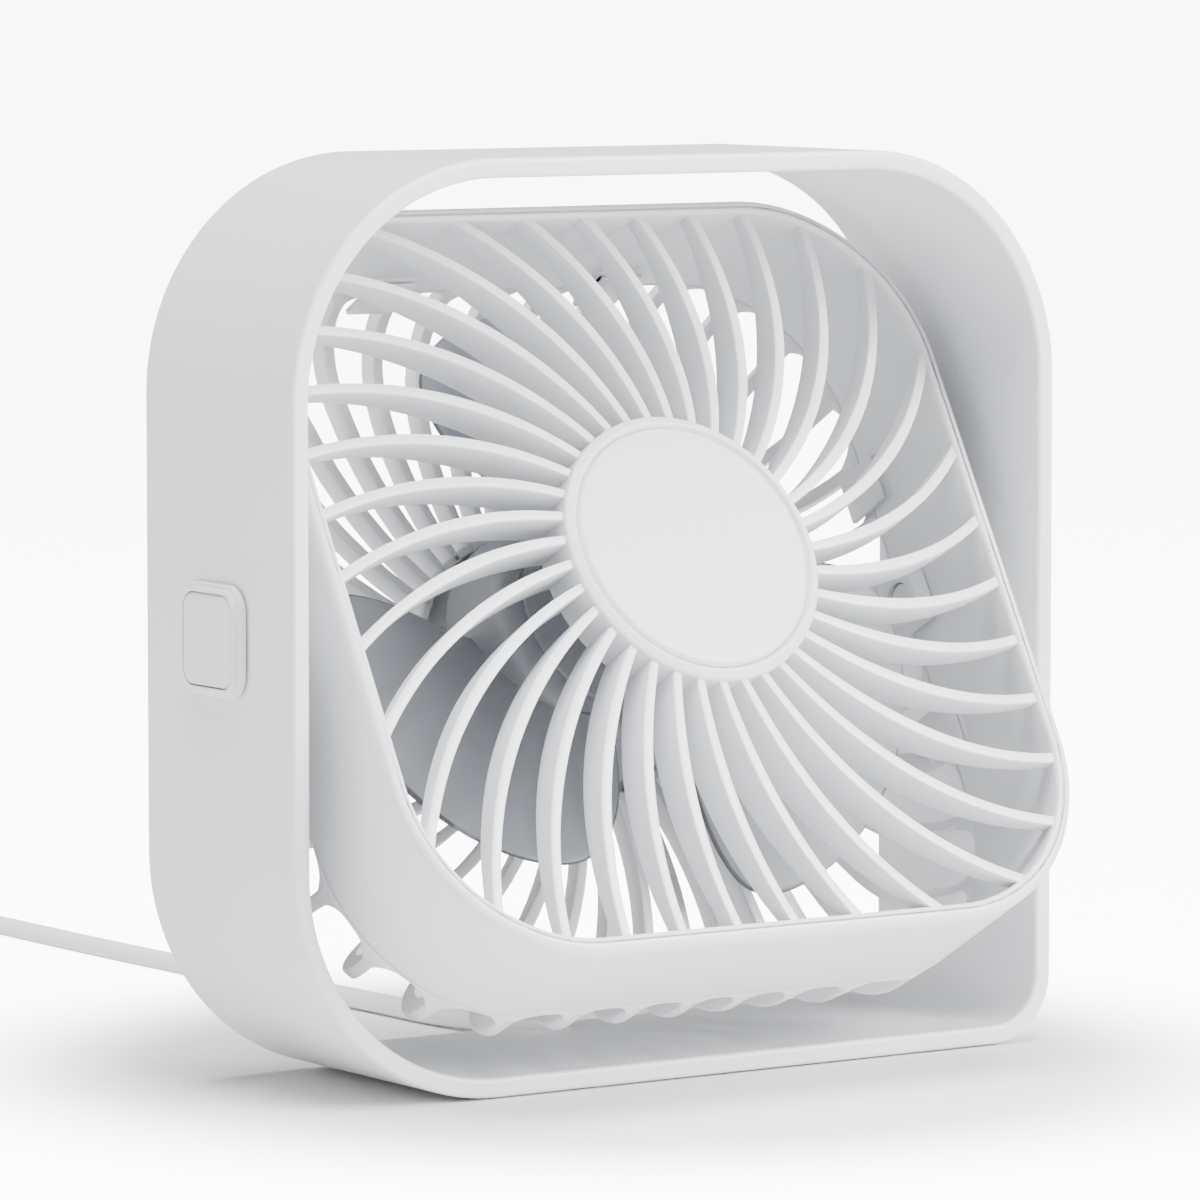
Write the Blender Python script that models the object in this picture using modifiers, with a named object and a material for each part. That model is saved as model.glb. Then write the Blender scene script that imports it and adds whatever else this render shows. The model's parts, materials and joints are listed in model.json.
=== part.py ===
"""A small square desk fan: a fan head that tilts inside a square ring stand.

The row frame has +X to the right as seen from the front, -Y towards the front and +Z up, with the
origin on the table under the middle of the stand. The head's pieces are modelled in the head's own
frame, whose +Z is the way the air leaves and whose +Y is the head's own up, and hang on an empty that
lies on the tilt axis. The turning pieces hang on a second empty on the same point.
"""

import math

import bmesh
import bpy

MM = 0.001
GAP = 0.3 * MM  # running and meeting gaps

# Stand: a ring with three wide corners and one tight one, at the bottom right.
STAND_HALF_W = 72.5 * MM
STAND_TOP = 145.7 * MM
STAND_BASE = 0.3 * MM
STAND_DEPTH = 43.6 * MM
STAND_WALL = 3.06 * MM
STAND_WIDE_R = 37 * MM
STAND_TIGHT_R = 11 * MM
PIVOT_Z = 70.9 * MM
FOOT_X = 26 * MM
FOOT_Y = 15 * MM
FOOT_R = 4 * MM
FOOT_TOP = 1.2 * MM
OUTER_WALL = STAND_HALF_W
INNER_WALL = STAND_HALF_W - STAND_WALL
SIDE_TRIM = 2.2 * MM  # how far the switch and the pivot cap stand out of the stand

# Head: a square box with round corners, open at both sides through grilles.
TILT = math.radians(29.8)
HEAD_HALF = 63.8 * MM
HEAD_CORNER_R = 29.8 * MM
HEAD_WALL = 2.7 * MM
HEAD_HALF_DEPTH = 21.8 * MM
HEAD_EDGE_R = 2 * MM
SEAM = -3 * MM
FRONT_RIBS = 35
HUB_R = 22.4 * MM
HUB_WALL = 1.6 * MM
HUB_FRONT = 27.2 * MM
HUB_BACK = 22.6 * MM
RIM_RIB_FRONT = 21 * MM
RIB_BACK = 18.6 * MM
FRONT_RIB_WIDTH = 1.8 * MM
FRONT_RIB_PHASE = math.radians(-2)
REAR_RIBS = 40
REAR_EDGE_R = 14 * MM
REAR_PLATE = 2 * MM
REAR_RIB_DEPTH = 4 * MM
REAR_RIB_INNER = 1.6 * MM
REAR_RIB_OUTER = 2.2 * MM
REAR_SLOT_PHASE = math.radians(-0.4)
SLOT_START = 24 * MM
SLOT_FRONT = -4.8 * MM
TWIST_LINEAR = math.radians(0.36) / MM
TWIST_SQUARE = math.radians(0.0016) / MM**2
TWIST_EASE = 52 * MM  # from here outwards the rear ribs' sweep dies away
TWIST_EASE_LENGTH = 20 * MM

# Pivots.
NECK_R = 3 * MM
PIVOT_END = 58.4 * MM
FLANGE_R = 9 * MM
FLANGE_FACE = HEAD_HALF + 1.1 * MM
BUSH_SIDE = 9.2 * MM
BUSH_OUTER = HEAD_HALF - HEAD_WALL - GAP
BUSH_THICK = 3.2 * MM

# Switch on the stand's left side, centred just above the tilt axis.
SWITCH_Z = PIVOT_Z + 1 * MM
BEZEL_Y = 17.5 * MM
BEZEL_Z = 17.5 * MM
BUTTON_Y = 14.3 * MM
BUTTON_Z = 13.8 * MM
BUTTON_THICK = 1.9 * MM

# Motor and fan wheel, along the head's own axis.
WHEEL_TIP_R = 54 * MM
WHEEL_HUB_R = 22.5 * MM
WHEEL_FRONT = 4 * MM
WHEEL_BACK = -13 * MM
BLADES = 3
BLADE_SPAN = math.radians(82)
BLADE_PHASE = math.radians(92)
BLADE_RAKE = math.radians(-8)
BLADE_FRONT = 5.5 * MM
BLADE_BACK = -6 * MM
BLADE_THICK = 1.2 * MM
SHAFT_R = 1 * MM
TUBE_INNER_R = 3 * MM
TUBE_OUTER_R = 4.2 * MM
PLATE_FRONT = -HEAD_HALF_DEPTH + REAR_PLATE
POLES = 4
MOTOR_SCREWS = 3
MOTOR_SCREW_RING = 14 * MM

# Supply cord, lying on the table behind the stand.
CORD_R = 1.75 * MM
CORD_REST = CORD_R + 0.03 * MM
GLAND_Z = 2.7 * MM
GLAND_HALF = 4.2 * MM
GLAND_FRONT = 16.3 * MM
GLAND_BACK = 24.5 * MM
BOOT_END = 31 * MM
COIL_PITCH = 3.6 * MM
COIL_MID_R = 21 * MM
COIL_COLUMNS = 3
COIL_LAYERS = 2
COIL_BASE = 1 * MM
TIE_THICK = 0.6 * MM
COIL_X = -32.6 * MM
COIL_Y = 232 * MM
PLUG_X = -68 * MM
PLUG_END = 165 * MM
PLUG_Z = 4.1 * MM


# ---------------------------------------------------------------- helpers


def clear_scene():
    """Empties the file of objects and collections left from before."""
    for obj in list(bpy.data.objects):
        bpy.data.objects.remove(obj, do_unlink=True)
    for group in list(bpy.data.collections):
        bpy.data.collections.remove(group)


def collection(name):
    """A new collection in the scene."""
    group = bpy.data.collections.new(name)
    bpy.context.scene.collection.children.link(group)
    return group


def finish(name, rgb, roughness, metallic=0.0):
    """A plain Principled BSDF material."""
    mat = bpy.data.materials.new(name)
    mat.use_nodes = True
    shader = mat.node_tree.nodes["Principled BSDF"]
    shader.inputs["Base Color"].default_value = (*rgb, 1)
    shader.inputs["Roughness"].default_value = roughness
    shader.inputs["Metallic"].default_value = metallic
    mat.diffuse_color = (*rgb, 1)
    return mat


def add(name, mesh, mat, parent=None, location=(0, 0, 0), rotation=(0, 0, 0)):
    """An object of the part, with its material, under its parent."""
    obj = bpy.data.objects.new(name, mesh)
    PART.objects.link(obj)
    obj.parent = parent
    obj.location = location
    obj.rotation_euler = rotation
    mesh.materials.clear()
    mesh.materials.append(mat)
    return obj


def smooth(mesh, degrees=35):
    """Shades a round piece smooth, with its hard edges kept."""
    mesh.shade_smooth()
    mesh.set_sharp_from_angle(angle=math.radians(degrees))
    return mesh


def empty(name, location, rotation=(0, 0, 0), parent=None):
    """A joint's empty, which carries the pieces that move about it."""
    obj = bpy.data.objects.new(name, None)
    PART.objects.link(obj)
    obj.parent = parent
    obj.location = location
    obj.rotation_euler = rotation
    return obj


def cutter(name, mesh, parent=None, location=(0, 0, 0), rotation=(0, 0, 0)):
    """A hidden shape that cuts or joins another."""
    obj = bpy.data.objects.new(name, mesh)
    CUTTERS.objects.link(obj)
    obj.parent = parent
    obj.location = location
    obj.rotation_euler = rotation
    obj.hide_render = True
    obj.display_type = "WIRE"
    return obj


def combine(obj, other, operation):
    """Cuts one shape with another, or joins it to one."""
    mod = obj.modifiers.new(other.name, "BOOLEAN")
    mod.operation = operation
    mod.solver = "EXACT"
    mod.object = other
    return mod


def bevel(obj, width, segments=2, degrees=40):
    """Rounds an object's sharp edges."""
    mod = obj.modifiers.new("edges", "BEVEL")
    mod.width = width
    mod.segments = segments
    mod.limit_method = "ANGLE"
    mod.angle_limit = math.radians(degrees)


def box(low, high):
    """A box between two corners."""
    bm = bmesh.new()
    bmesh.ops.create_cube(bm, size=1)
    size = [b - a for a, b in zip(low, high)]
    middle = [(a + b) / 2 for a, b in zip(low, high)]
    bmesh.ops.scale(bm, vec=size, verts=bm.verts)
    bmesh.ops.translate(bm, vec=middle, verts=bm.verts)
    return to_mesh(bm)


def cylinder(radius, low, high, sides=24, radius_high=None):
    """A cylinder or cone along Z between two heights."""
    bm = bmesh.new()
    bmesh.ops.create_cone(
        bm,
        cap_ends=True,
        segments=sides,
        radius1=radius,
        radius2=radius if radius_high is None else radius_high,
        depth=high - low,
    )
    bmesh.ops.translate(bm, vec=(0, 0, (low + high) / 2), verts=bm.verts)
    return to_mesh(bm)


def to_mesh(bm):
    """Turns a bmesh into a mesh."""
    mesh = bpy.data.meshes.new("shape")
    bm.to_mesh(mesh)
    bm.free()
    return mesh


def read(obj):
    """The evaluated mesh of a construction object, which is then removed."""
    bpy.context.view_layer.update()
    graph = bpy.context.evaluated_depsgraph_get()
    mesh = bpy.data.meshes.new_from_object(obj.evaluated_get(graph))
    bpy.data.objects.remove(obj, do_unlink=True)
    bm = bmesh.new()
    bm.from_mesh(mesh)
    bmesh.ops.remove_doubles(bm, verts=bm.verts, dist=0.002 * MM)
    bm.to_mesh(mesh)
    bm.free()
    mesh.materials.clear()
    return mesh


def plate(outlines, low, high):
    """A flat outline, with holes where outlines lie in each other, from one height to another."""
    curve = bpy.data.curves.new("outline", "CURVE")
    curve.dimensions = "2D"
    curve.fill_mode = "BOTH"
    curve.extrude = (high - low) / 2
    for outline in outlines:
        spline = curve.splines.new("POLY")
        spline.points.add(len(outline) - 1)
        for point, (x, y) in zip(spline.points, outline):
            point.co = (x, y, 0, 1)
        spline.use_cyclic_u = True
    obj = bpy.data.objects.new("outline", curve)
    CUTTERS.objects.link(obj)
    mesh = read(obj)
    for vertex in mesh.vertices:
        vertex.co.z += (low + high) / 2
    return mesh


def turned(profile, steps=32):
    """A profile of (radius, height) points, down its outer side, turned about Z."""
    closed = profile[0][0] > 0
    mesh = bpy.data.meshes.new("profile")
    count = len(profile)
    edges = [(i, i + 1) for i in range(count - 1)]
    if closed:
        edges.append((count - 1, 0))
    mesh.from_pydata([(r, 0, z) for r, z in profile], edges, [])
    obj = bpy.data.objects.new("profile", mesh)
    CUTTERS.objects.link(obj)
    screw = obj.modifiers.new("turn", "SCREW")
    screw.steps = steps
    screw.render_steps = steps
    screw.use_merge_vertices = True
    screw.merge_threshold = 0.005 * MM
    return smooth(read(obj))


def ring(inner, outer, low, high, steps=32):
    """A flat ring, turned about Z."""
    return turned([(outer, high), (outer, low), (inner, low), (inner, high)], steps)


def tube(paths, radius, resolution=2):
    """Round tubes along lists of points."""
    curve = bpy.data.curves.new("tube", "CURVE")
    curve.dimensions = "3D"
    curve.bevel_depth = radius
    curve.bevel_resolution = resolution
    curve.use_fill_caps = True
    fill_splines(curve, paths)
    obj = bpy.data.objects.new("tube", curve)
    CUTTERS.objects.link(obj)
    return smooth(read(obj), 50)


def fill_splines(curve, paths):
    """Adds an open POLY spline for each path."""
    for path in paths:
        spline = curve.splines.new("POLY")
        spline.points.add(len(path) - 1)
        for point, co in zip(spline.points, path):
            point.co = (*co, 1)


def rounded_box_outline(left, right, bottom, top, radii, steps=8):
    """An outline with its own radius at each corner: bottom left, bottom right, top right, top left."""
    corners = [(left, bottom), (right, bottom), (right, top), (left, top)]
    points = []
    for index, ((x, y), radius) in enumerate(zip(corners, radii)):
        side_x = 1 if x == left else -1
        side_y = 1 if y == bottom else -1
        start = math.pi + index * math.pi / 2
        for step in range(steps + 1):
            angle = start + step * math.pi / 2 / steps
            points.append(
                (
                    x + side_x * radius + radius * math.cos(angle),
                    y + side_y * radius + radius * math.sin(angle),
                )
            )
    return points


def square_outline(half, radius, steps=8):
    """A square outline about the origin, with round corners."""
    return rounded_box_outline(-half, half, -half, half, [radius] * 4, steps)


def smooth_path(knots, count):
    """Points along a Catmull-Rom curve through the knots, evenly spread over its parameter."""
    first = [2 * a - b for a, b in zip(knots[0], knots[1])]
    last = [2 * a - b for a, b in zip(knots[-1], knots[-2])]
    full = [first, *knots, last]
    points = []
    for index in range(count):
        u = index / (count - 1) * (len(knots) - 1)
        span = min(int(u), len(knots) - 2)
        t = u - span
        around = full[span : span + 4]
        points.append(tuple(catmull_rom(*values, t) for values in zip(*around)))
    return points


def catmull_rom(p0, p1, p2, p3, t):
    """One coordinate of a Catmull-Rom span."""
    linear = p2 - p0
    square = 2 * p0 - 5 * p1 + 4 * p2 - p3
    cube = 3 * p1 - p0 - 3 * p2 + p3
    return (2 * p1 + linear * t + square * t**2 + cube * t**3) / 2


# ---------------------------------------------------------------- stand


def make_stand():
    """The ring, its feet, and the openings cut into the ring."""
    inset = STAND_WALL
    wide = STAND_WIDE_R
    tight = STAND_TIGHT_R
    outer = rounded_box_outline(
        -OUTER_WALL, OUTER_WALL, STAND_BASE, STAND_TOP, [wide, tight, wide, wide]
    )
    inner = rounded_box_outline(
        -INNER_WALL,
        INNER_WALL,
        STAND_BASE + inset,
        STAND_TOP - inset,
        [wide - inset, tight - inset, wide - inset, wide - inset],
    )
    mesh = plate([outer, inner], -STAND_DEPTH / 2, STAND_DEPTH / 2)
    stand = add("frame_ring", smooth(mesh), WHITE, rotation=(math.pi / 2, 0, 0))
    notch = box(
        (-GLAND_HALF - GAP, GLAND_FRONT - GAP, -2 * MM),
        (GLAND_HALF + GAP, 30 * MM, 7 * MM),
    )
    combine(stand, cutter("gland_notch", notch), "DIFFERENCE")
    bevel(stand, 0.5 * MM, 1)

    half_y = (BEZEL_Y - 2.3 * MM) / 2
    half_z = (BEZEL_Z - 3 * MM) / 2
    window = box(
        (-OUTER_WALL - 1 * MM, -half_y, SWITCH_Z - half_z),
        (-INNER_WALL + 1 * MM, half_y, SWITCH_Z + half_z),
    )
    combine(stand, cutter("switch_window", window), "DIFFERENCE")
    along_x = (0, math.pi / 2, 0)
    axis = (0, 0, PIVOT_Z)
    hole = cylinder(1.5 * MM, INNER_WALL - 1 * MM, OUTER_WALL + 1 * MM, 16)
    combine(stand, cutter("screw_hole", hole, None, axis, along_x), "DIFFERENCE")
    sink = cylinder(2.9 * MM, OUTER_WALL - 1.8 * MM, OUTER_WALL + 1 * MM, 16)
    combine(stand, cutter("screw_sink", sink, None, axis, along_x), "DIFFERENCE")

    pad = turned([(0, FOOT_TOP), (FOOT_R, FOOT_TOP), (FOOT_R, 0), (0, 0)], 20)
    number = 1
    for x in (-FOOT_X, FOOT_X):
        for y in (-FOOT_Y, FOOT_Y):
            recess = cylinder(FOOT_R + GAP, -1 * MM, FOOT_TOP + GAP, 20)
            recess = cutter(f"foot_recess_{number}", recess, None, (x, y, 0))
            combine(stand, recess, "DIFFERENCE")
            add(f"foot_pad_{number}", pad, RUBBER, location=(x, y, 0))
            number += 1


def make_switch():
    """The bezel on the stand's left side, the press button in it, and the switch behind it."""
    middle = (0, 0, SWITCH_Z)
    facing = (math.pi / 2, 0, -math.pi / 2)  # local +Z points to -X, local +Y up
    bezel_back = OUTER_WALL + GAP
    bezel_face = OUTER_WALL + SIDE_TRIM
    outer = rounded_box_outline(
        -BEZEL_Y / 2, BEZEL_Y / 2, -BEZEL_Z / 2, BEZEL_Z / 2, [3.2 * MM] * 4, 5
    )
    half_y = BUTTON_Y / 2 + GAP
    half_z = BUTTON_Z / 2 + GAP
    inner = rounded_box_outline(-half_y, half_y, -half_z, half_z, [2.7 * MM] * 4, 5)
    mesh = plate([outer, inner], bezel_back, bezel_face)
    bezel = add("switch_bezel", mesh, WHITE, None, middle, facing)
    bevel(bezel, 0.35 * MM, 1)

    cap = rounded_box_outline(
        -BUTTON_Y / 2, BUTTON_Y / 2, -BUTTON_Z / 2, BUTTON_Z / 2, [2.4 * MM] * 4, 5
    )
    mesh = plate([cap], -BUTTON_THICK / 2, BUTTON_THICK / 2)
    depth = bezel_face - 0.1 * MM - BUTTON_THICK / 2
    place = (-depth, 0, SWITCH_Z)
    button = add("power_button", mesh, BUTTON, None, place, facing)
    bevel(button, 0.3 * MM, 1)

    board = box((-67 * MM, -6 * MM, -6 * MM), (-66 * MM, 6 * MM, 6 * MM))
    add("switch_board", board, BOARD, location=middle)
    body = add("tact_switch", tact_body(), DARK, location=middle)
    plunger = cylinder(1.6 * MM, 70 * MM, 71.4 * MM, 16)
    plunger = cutter("tact_plunger", plunger, None, middle, (0, -math.pi / 2, 0))
    combine(body, plunger, "UNION")


def tact_body():
    """The square body of the push switch, on the board."""
    return box((-70.6 * MM, -3 * MM, -3 * MM), (-67.3 * MM, 3 * MM, 3 * MM))


def make_pivots():
    """The stand's halves of the two tilt pivots, on the X axis."""
    axis = (0, 0, PIVOT_Z)
    to_left = (0, -math.pi / 2, 0)  # local +Z points to -X
    to_right = (0, math.pi / 2, 0)
    base = INNER_WALL - GAP
    face = FLANGE_FACE
    cup_r = FLANGE_R + 1.6 * MM
    housing = turned(
        [
            (cup_r, base),
            (cup_r, face),
            (NECK_R, face),
            (NECK_R, PIVOT_END),
            (NECK_R - 1.1 * MM, PIVOT_END),
            (NECK_R - 1.1 * MM, face + 0.8 * MM),
            (FLANGE_R + 0.6 * MM, face + 0.8 * MM),
            (FLANGE_R + 0.6 * MM, base),
        ],
        28,
    )
    add("pivot_housing_left", housing, WHITE, None, axis, to_left)
    pin = turned(
        [
            (0, face - 2 * MM),
            (1.2 * MM, face - 2 * MM),
            (1.2 * MM, base),
            (FLANGE_R, base),
            (FLANGE_R, face),
            (NECK_R, face),
            (NECK_R, PIVOT_END),
            (0, PIVOT_END),
        ],
        24,
    )
    add("pivot_pin_right", pin, WHITE, None, axis, to_right)
    washer = ring(NECK_R + GAP, 7 * MM, HEAD_HALF + GAP, face - GAP, 24)
    add("friction_washer_left", washer, RUBBER, None, axis, to_left)
    add("friction_washer_right", washer, RUBBER, None, axis, to_right)
    head = OUTER_WALL - GAP
    screw = turned(
        [
            (0, head),
            (2.5 * MM, head),
            (2.5 * MM, head - 1.1 * MM),
            (0.85 * MM, head - 1.1 * MM),
            (0.85 * MM, face - 1.5 * MM),
            (0, face - 1.5 * MM),
        ],
        16,
    )
    add("pivot_screw_right", screw, STEEL, None, axis, to_right)
    cap = turned(
        [
            (0, OUTER_WALL + SIDE_TRIM),
            (7.4 * MM, OUTER_WALL + SIDE_TRIM),
            (8.2 * MM, OUTER_WALL + SIDE_TRIM - 0.8 * MM),
            (8.2 * MM, OUTER_WALL + GAP),
            (0, OUTER_WALL + GAP),
        ],
        32,
    )
    add("pivot_cap_right", cap, WHITE, None, axis, to_right)


# ---------------------------------------------------------------- head


def twist(radius):
    """How far a rib has swept round at a radius, from its start at the hub."""
    out = radius - HUB_R
    return TWIST_LINEAR * out + TWIST_SQUARE * out**2


def rear_twist(radius):
    """A rear rib's sweep: as a front rib's, but it dies away towards the side wall."""
    slope = TWIST_LINEAR + 2 * TWIST_SQUARE * (TWIST_EASE - HUB_R)
    out = min(max(radius - TWIST_EASE, 0), TWIST_EASE_LENGTH)
    eased = out - out**2 / (2 * TWIST_EASE_LENGTH)
    return twist(min(radius, TWIST_EASE)) + slope * eased


def inside_square(x, y, half, radius):
    """Whether a point is inside a square outline with round corners."""
    flat = half - radius
    over_x = max(abs(x) - flat, 0)
    over_y = max(abs(y) - flat, 0)
    return math.hypot(over_x, over_y) < radius


def rib_reach(start):
    """The radius at which a front rib is in the middle of the head's wall."""
    half = HEAD_HALF - HEAD_WALL / 2
    corner = HEAD_CORNER_R - HEAD_WALL / 2
    low = HUB_R
    high = 2 * HEAD_HALF
    for _ in range(30):
        middle = (low + high) / 2
        angle = start + twist(middle)
        if inside_square(
            middle * math.cos(angle), middle * math.sin(angle), half, corner
        ):
            low = middle
        else:
            high = middle
    return low


def front_rib_sections(start, steps=6):
    """A front rib's cross-sections: it sweeps round and falls from the hub to the rim."""
    begin = HUB_R - HUB_WALL / 2
    end = rib_reach(start)
    half = FRONT_RIB_WIDTH / 2
    sections = []
    for step in range(steps + 1):
        share = step / steps
        radius = begin + (end - begin) * share
        angle = start + twist(radius)
        sweep = math.atan(radius * (twist(radius + MM) - twist(radius)) / MM)
        along = angle + sweep
        front = HUB_FRONT - 0.2 * MM + (RIM_RIB_FRONT - HUB_FRONT) * share**1.5
        section = []
        for side, height in ((-1, RIB_BACK), (1, RIB_BACK), (1, front), (-1, front)):
            x = radius * math.cos(angle) - side * half * math.sin(along)
            y = radius * math.sin(angle) + side * half * math.cos(along)
            section.append((x, y, height))
        sections.append(section)
    return sections


def front_ribs():
    """All front ribs, each lofted through its cross-sections."""
    points = []
    faces = []
    for index in range(FRONT_RIBS):
        sections = front_rib_sections(FRONT_RIB_PHASE + 2 * math.pi * index / FRONT_RIBS)
        first = len(points)
        for number, section in enumerate(sections):
            points += section
            if number:
                a = first + 4 * (number - 1)
                for side in range(4):
                    after = (side + 1) % 4
                    faces.append((a + side, a + after, a + 4 + after, a + 4 + side))
        last = first + 4 * (len(sections) - 1)
        faces.append((first, first + 3, first + 2, first + 1))
        faces.append((last, last + 1, last + 2, last + 3))
    mesh = bpy.data.meshes.new("ribs")
    mesh.from_pydata(points, [], faces)
    bm = bmesh.new()
    bm.from_mesh(mesh)
    bmesh.ops.recalc_face_normals(bm, faces=bm.faces)
    bm.to_mesh(mesh)
    bm.free()
    return mesh


def head_wall(low, high, rounded):
    """A length of the head's wall, with one outer edge rounded, at height rounded."""
    outer = square_outline(HEAD_HALF, HEAD_CORNER_R)
    inner = square_outline(HEAD_HALF - HEAD_WALL, HEAD_CORNER_R - HEAD_WALL)
    mesh = plate([outer, inner], low, high)
    return round_edge(mesh, rounded, HEAD_HALF, HEAD_CORNER_R, HEAD_EDGE_R, 2)


def round_edge(mesh, height, half, corner, radius, segments):
    """Rounds the edge loop on a round-cornered square outline at one height."""
    near = 0.01 * MM
    flat = half - corner
    limit = corner - 0.2 * MM
    bm = bmesh.new()
    bm.from_mesh(mesh)
    loop = [
        edge
        for edge in bm.edges
        if edge.calc_face_angle() > 1
        and all(
            abs(v.co.z - height) < near
            and math.hypot(max(abs(v.co.x) - flat, 0), max(abs(v.co.y) - flat, 0)) > limit
            for v in edge.verts
        )
    ]
    bmesh.ops.bevel(
        bm, geom=loop, offset=radius, segments=segments, affect="EDGES", profile=0.5
    )
    bm.to_mesh(mesh)
    bm.free()
    return mesh


def snap_tab(across, turn):
    """A tab that reaches from the front shell behind the seam, inside the rear shell's wall."""
    inside = HEAD_HALF - HEAD_WALL
    outline = [
        (inside - 1.4 * MM, SEAM - 5 * MM),
        (inside - GAP, SEAM - 5 * MM),
        (inside - GAP, SEAM + 1 * MM),
        (inside + 0.5 * MM, SEAM + 1 * MM),
        (inside + 0.5 * MM, SEAM + 5 * MM),
        (inside - 1.4 * MM, SEAM + 5 * MM),
    ]
    mesh = plate([outline], across - 4 * MM, across + 4 * MM)
    bm = bmesh.new()
    bm.from_mesh(mesh)
    for vertex in bm.verts:
        x, z, y = vertex.co
        vertex.co = (
            x * math.cos(turn) + y * math.sin(turn),
            x * math.sin(turn) - y * math.cos(turn),
            z,
        )
    bmesh.ops.recalc_face_normals(bm, faces=bm.faces)
    bm.to_mesh(mesh)
    bm.free()
    return mesh


def make_front_shell(head, pivot_bore):
    """The front half of the head: wall, ribs and hub ring in one moulding."""
    mesh = head_wall(SEAM, HEAD_HALF_DEPTH, HEAD_HALF_DEPTH)
    shell = add("front_shell", smooth(mesh), WHITE, head)
    combine(shell, cutter("front_ribs", front_ribs(), head), "UNION")
    combine(shell, cutter("front_hub", hub_cup(), head), "UNION")
    for turn in range(4):
        for across in (-22 * MM, 22 * MM):
            tab = snap_tab(across, turn * math.pi / 2)
            name = f"snap_tab_{turn}_{'a' if across < 0 else 'b'}"
            combine(shell, cutter(name, tab, head), "UNION")
    combine(shell, pivot_bore, "DIFFERENCE")

    cap = turned(
        [
            (0, HUB_FRONT - 0.2 * MM),
            (HUB_R - HUB_WALL - 0.8 * MM, HUB_FRONT - 0.2 * MM),
            (HUB_R - HUB_WALL - GAP, HUB_FRONT - 0.6 * MM),
            (HUB_R - HUB_WALL - GAP, HUB_BACK + 1.5 * MM + GAP),
            (0, HUB_BACK + 1.5 * MM + GAP),
        ],
        48,
    )
    add("hub_cap", cap, WHITE, head)


def hub_cup():
    """The hub ring with its back plate, open to the front."""
    floor = HUB_BACK + 1.5 * MM
    inside = HUB_R - HUB_WALL
    return turned(
        [
            (0, floor),
            (inside, floor),
            (inside, HUB_FRONT),
            (HUB_R - 0.5 * MM, HUB_FRONT),
            (HUB_R, HUB_FRONT - 0.5 * MM),
            (HUB_R, RIB_BACK),
            (inside, RIB_BACK),
            (inside, HUB_BACK),
            (0, HUB_BACK),
        ],
        48,
    )


def rear_slots():
    """The openings between the rear ribs, which run on round the edge into the side wall."""
    pitch = 2 * math.pi / REAR_RIBS
    start = SLOT_START
    end = 1.55 * HEAD_HALF
    steps = 7
    outlines = []
    for index in range(REAR_RIBS):
        sides = ([], [])
        for step in range(steps + 1):
            radius = start + (end - start) * step / steps
            share = min((radius - start) / (HEAD_HALF - start), 1.2)
            width = REAR_RIB_INNER + (REAR_RIB_OUTER - REAR_RIB_INNER) * share
            half = pitch / 2 - width / 2 / radius
            middle = REAR_SLOT_PHASE + index * pitch - rear_twist(radius)
            for side, angle in zip(sides, (middle - half, middle + half)):
                side.append((radius * math.cos(angle), radius * math.sin(angle)))
        outlines.append(sides[0] + sides[1][::-1])
    return plate(outlines, -HEAD_HALF_DEPTH - 5 * MM, SLOT_FRONT)


def make_rear_shell(head, pivot_bore):
    """The rear half of the head: a tub with a slotted back, and the motor's seat in its middle."""
    top = SEAM - GAP
    mesh = plate(
        [square_outline(HEAD_HALF, HEAD_CORNER_R)], -HEAD_HALF_DEPTH, top
    )
    mesh = round_edge(mesh, -HEAD_HALF_DEPTH, HEAD_HALF, HEAD_CORNER_R, REAR_EDGE_R, 4)
    shell = add("rear_shell", smooth(mesh), WHITE, head)
    half = HEAD_HALF - HEAD_WALL
    corner = HEAD_CORNER_R - HEAD_WALL
    floor = -HEAD_HALF_DEPTH + REAR_RIB_DEPTH
    hollow = plate([square_outline(half, corner)], floor, top + 5 * MM)
    hollow = round_edge(hollow, floor, half, corner, REAR_EDGE_R - HEAD_WALL, 4)
    combine(shell, cutter("rear_hollow", hollow, head), "DIFFERENCE")
    recess = cylinder(SLOT_START - 1 * MM, PLATE_FRONT, floor + 5 * MM, 40)
    combine(shell, cutter("motor_recess", recess, head), "DIFFERENCE")
    combine(shell, cutter("rear_slots", rear_slots(), head), "DIFFERENCE")
    sunk = PLATE_FRONT - 0.5 * MM
    seat = ring(TUBE_INNER_R, TUBE_OUTER_R, sunk, -3 * MM, 24)
    combine(shell, cutter("bearing_tube", seat, head), "UNION")
    for index in range(MOTOR_SCREWS):
        post = ring(0.9 * MM, 2.2 * MM, sunk, -18 * MM, 16)
        place = around(MOTOR_SCREW_RING, index, MOTOR_SCREWS)
        post = cutter(f"motor_post_{index + 1}", post, head, place)
        combine(shell, post, "UNION")
    combine(shell, pivot_bore, "DIFFERENCE")


def around(radius, index, count, height=0.0):
    """A place on a circle about the head's axis."""
    angle = 2 * math.pi * (index + 0.25) / count
    return (radius * math.cos(angle), radius * math.sin(angle), height)


def make_bushes(head):
    """The square blocks inside the head's side walls that turn on the stand's pivots."""
    half = BUSH_SIDE / 2
    outline = square_outline(half, 1.5 * MM, 3)
    bore = [
        ((NECK_R + GAP) * math.cos(a), (NECK_R + GAP) * math.sin(a))
        for a in (2 * math.pi * i / 20 for i in range(20))
    ]
    inner = BUSH_OUTER - BUSH_THICK
    mesh = plate([outline, bore], inner, BUSH_OUTER)
    for side, turn in (("left", -math.pi / 2), ("right", math.pi / 2)):
        bush = add(f"pivot_bush_{side}", mesh, WHITE, head, (0, 0, 0), (0, turn, 0))
        bevel(bush, 0.3 * MM, 1, 60)


# ---------------------------------------------------------------- motor and fan wheel


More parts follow.
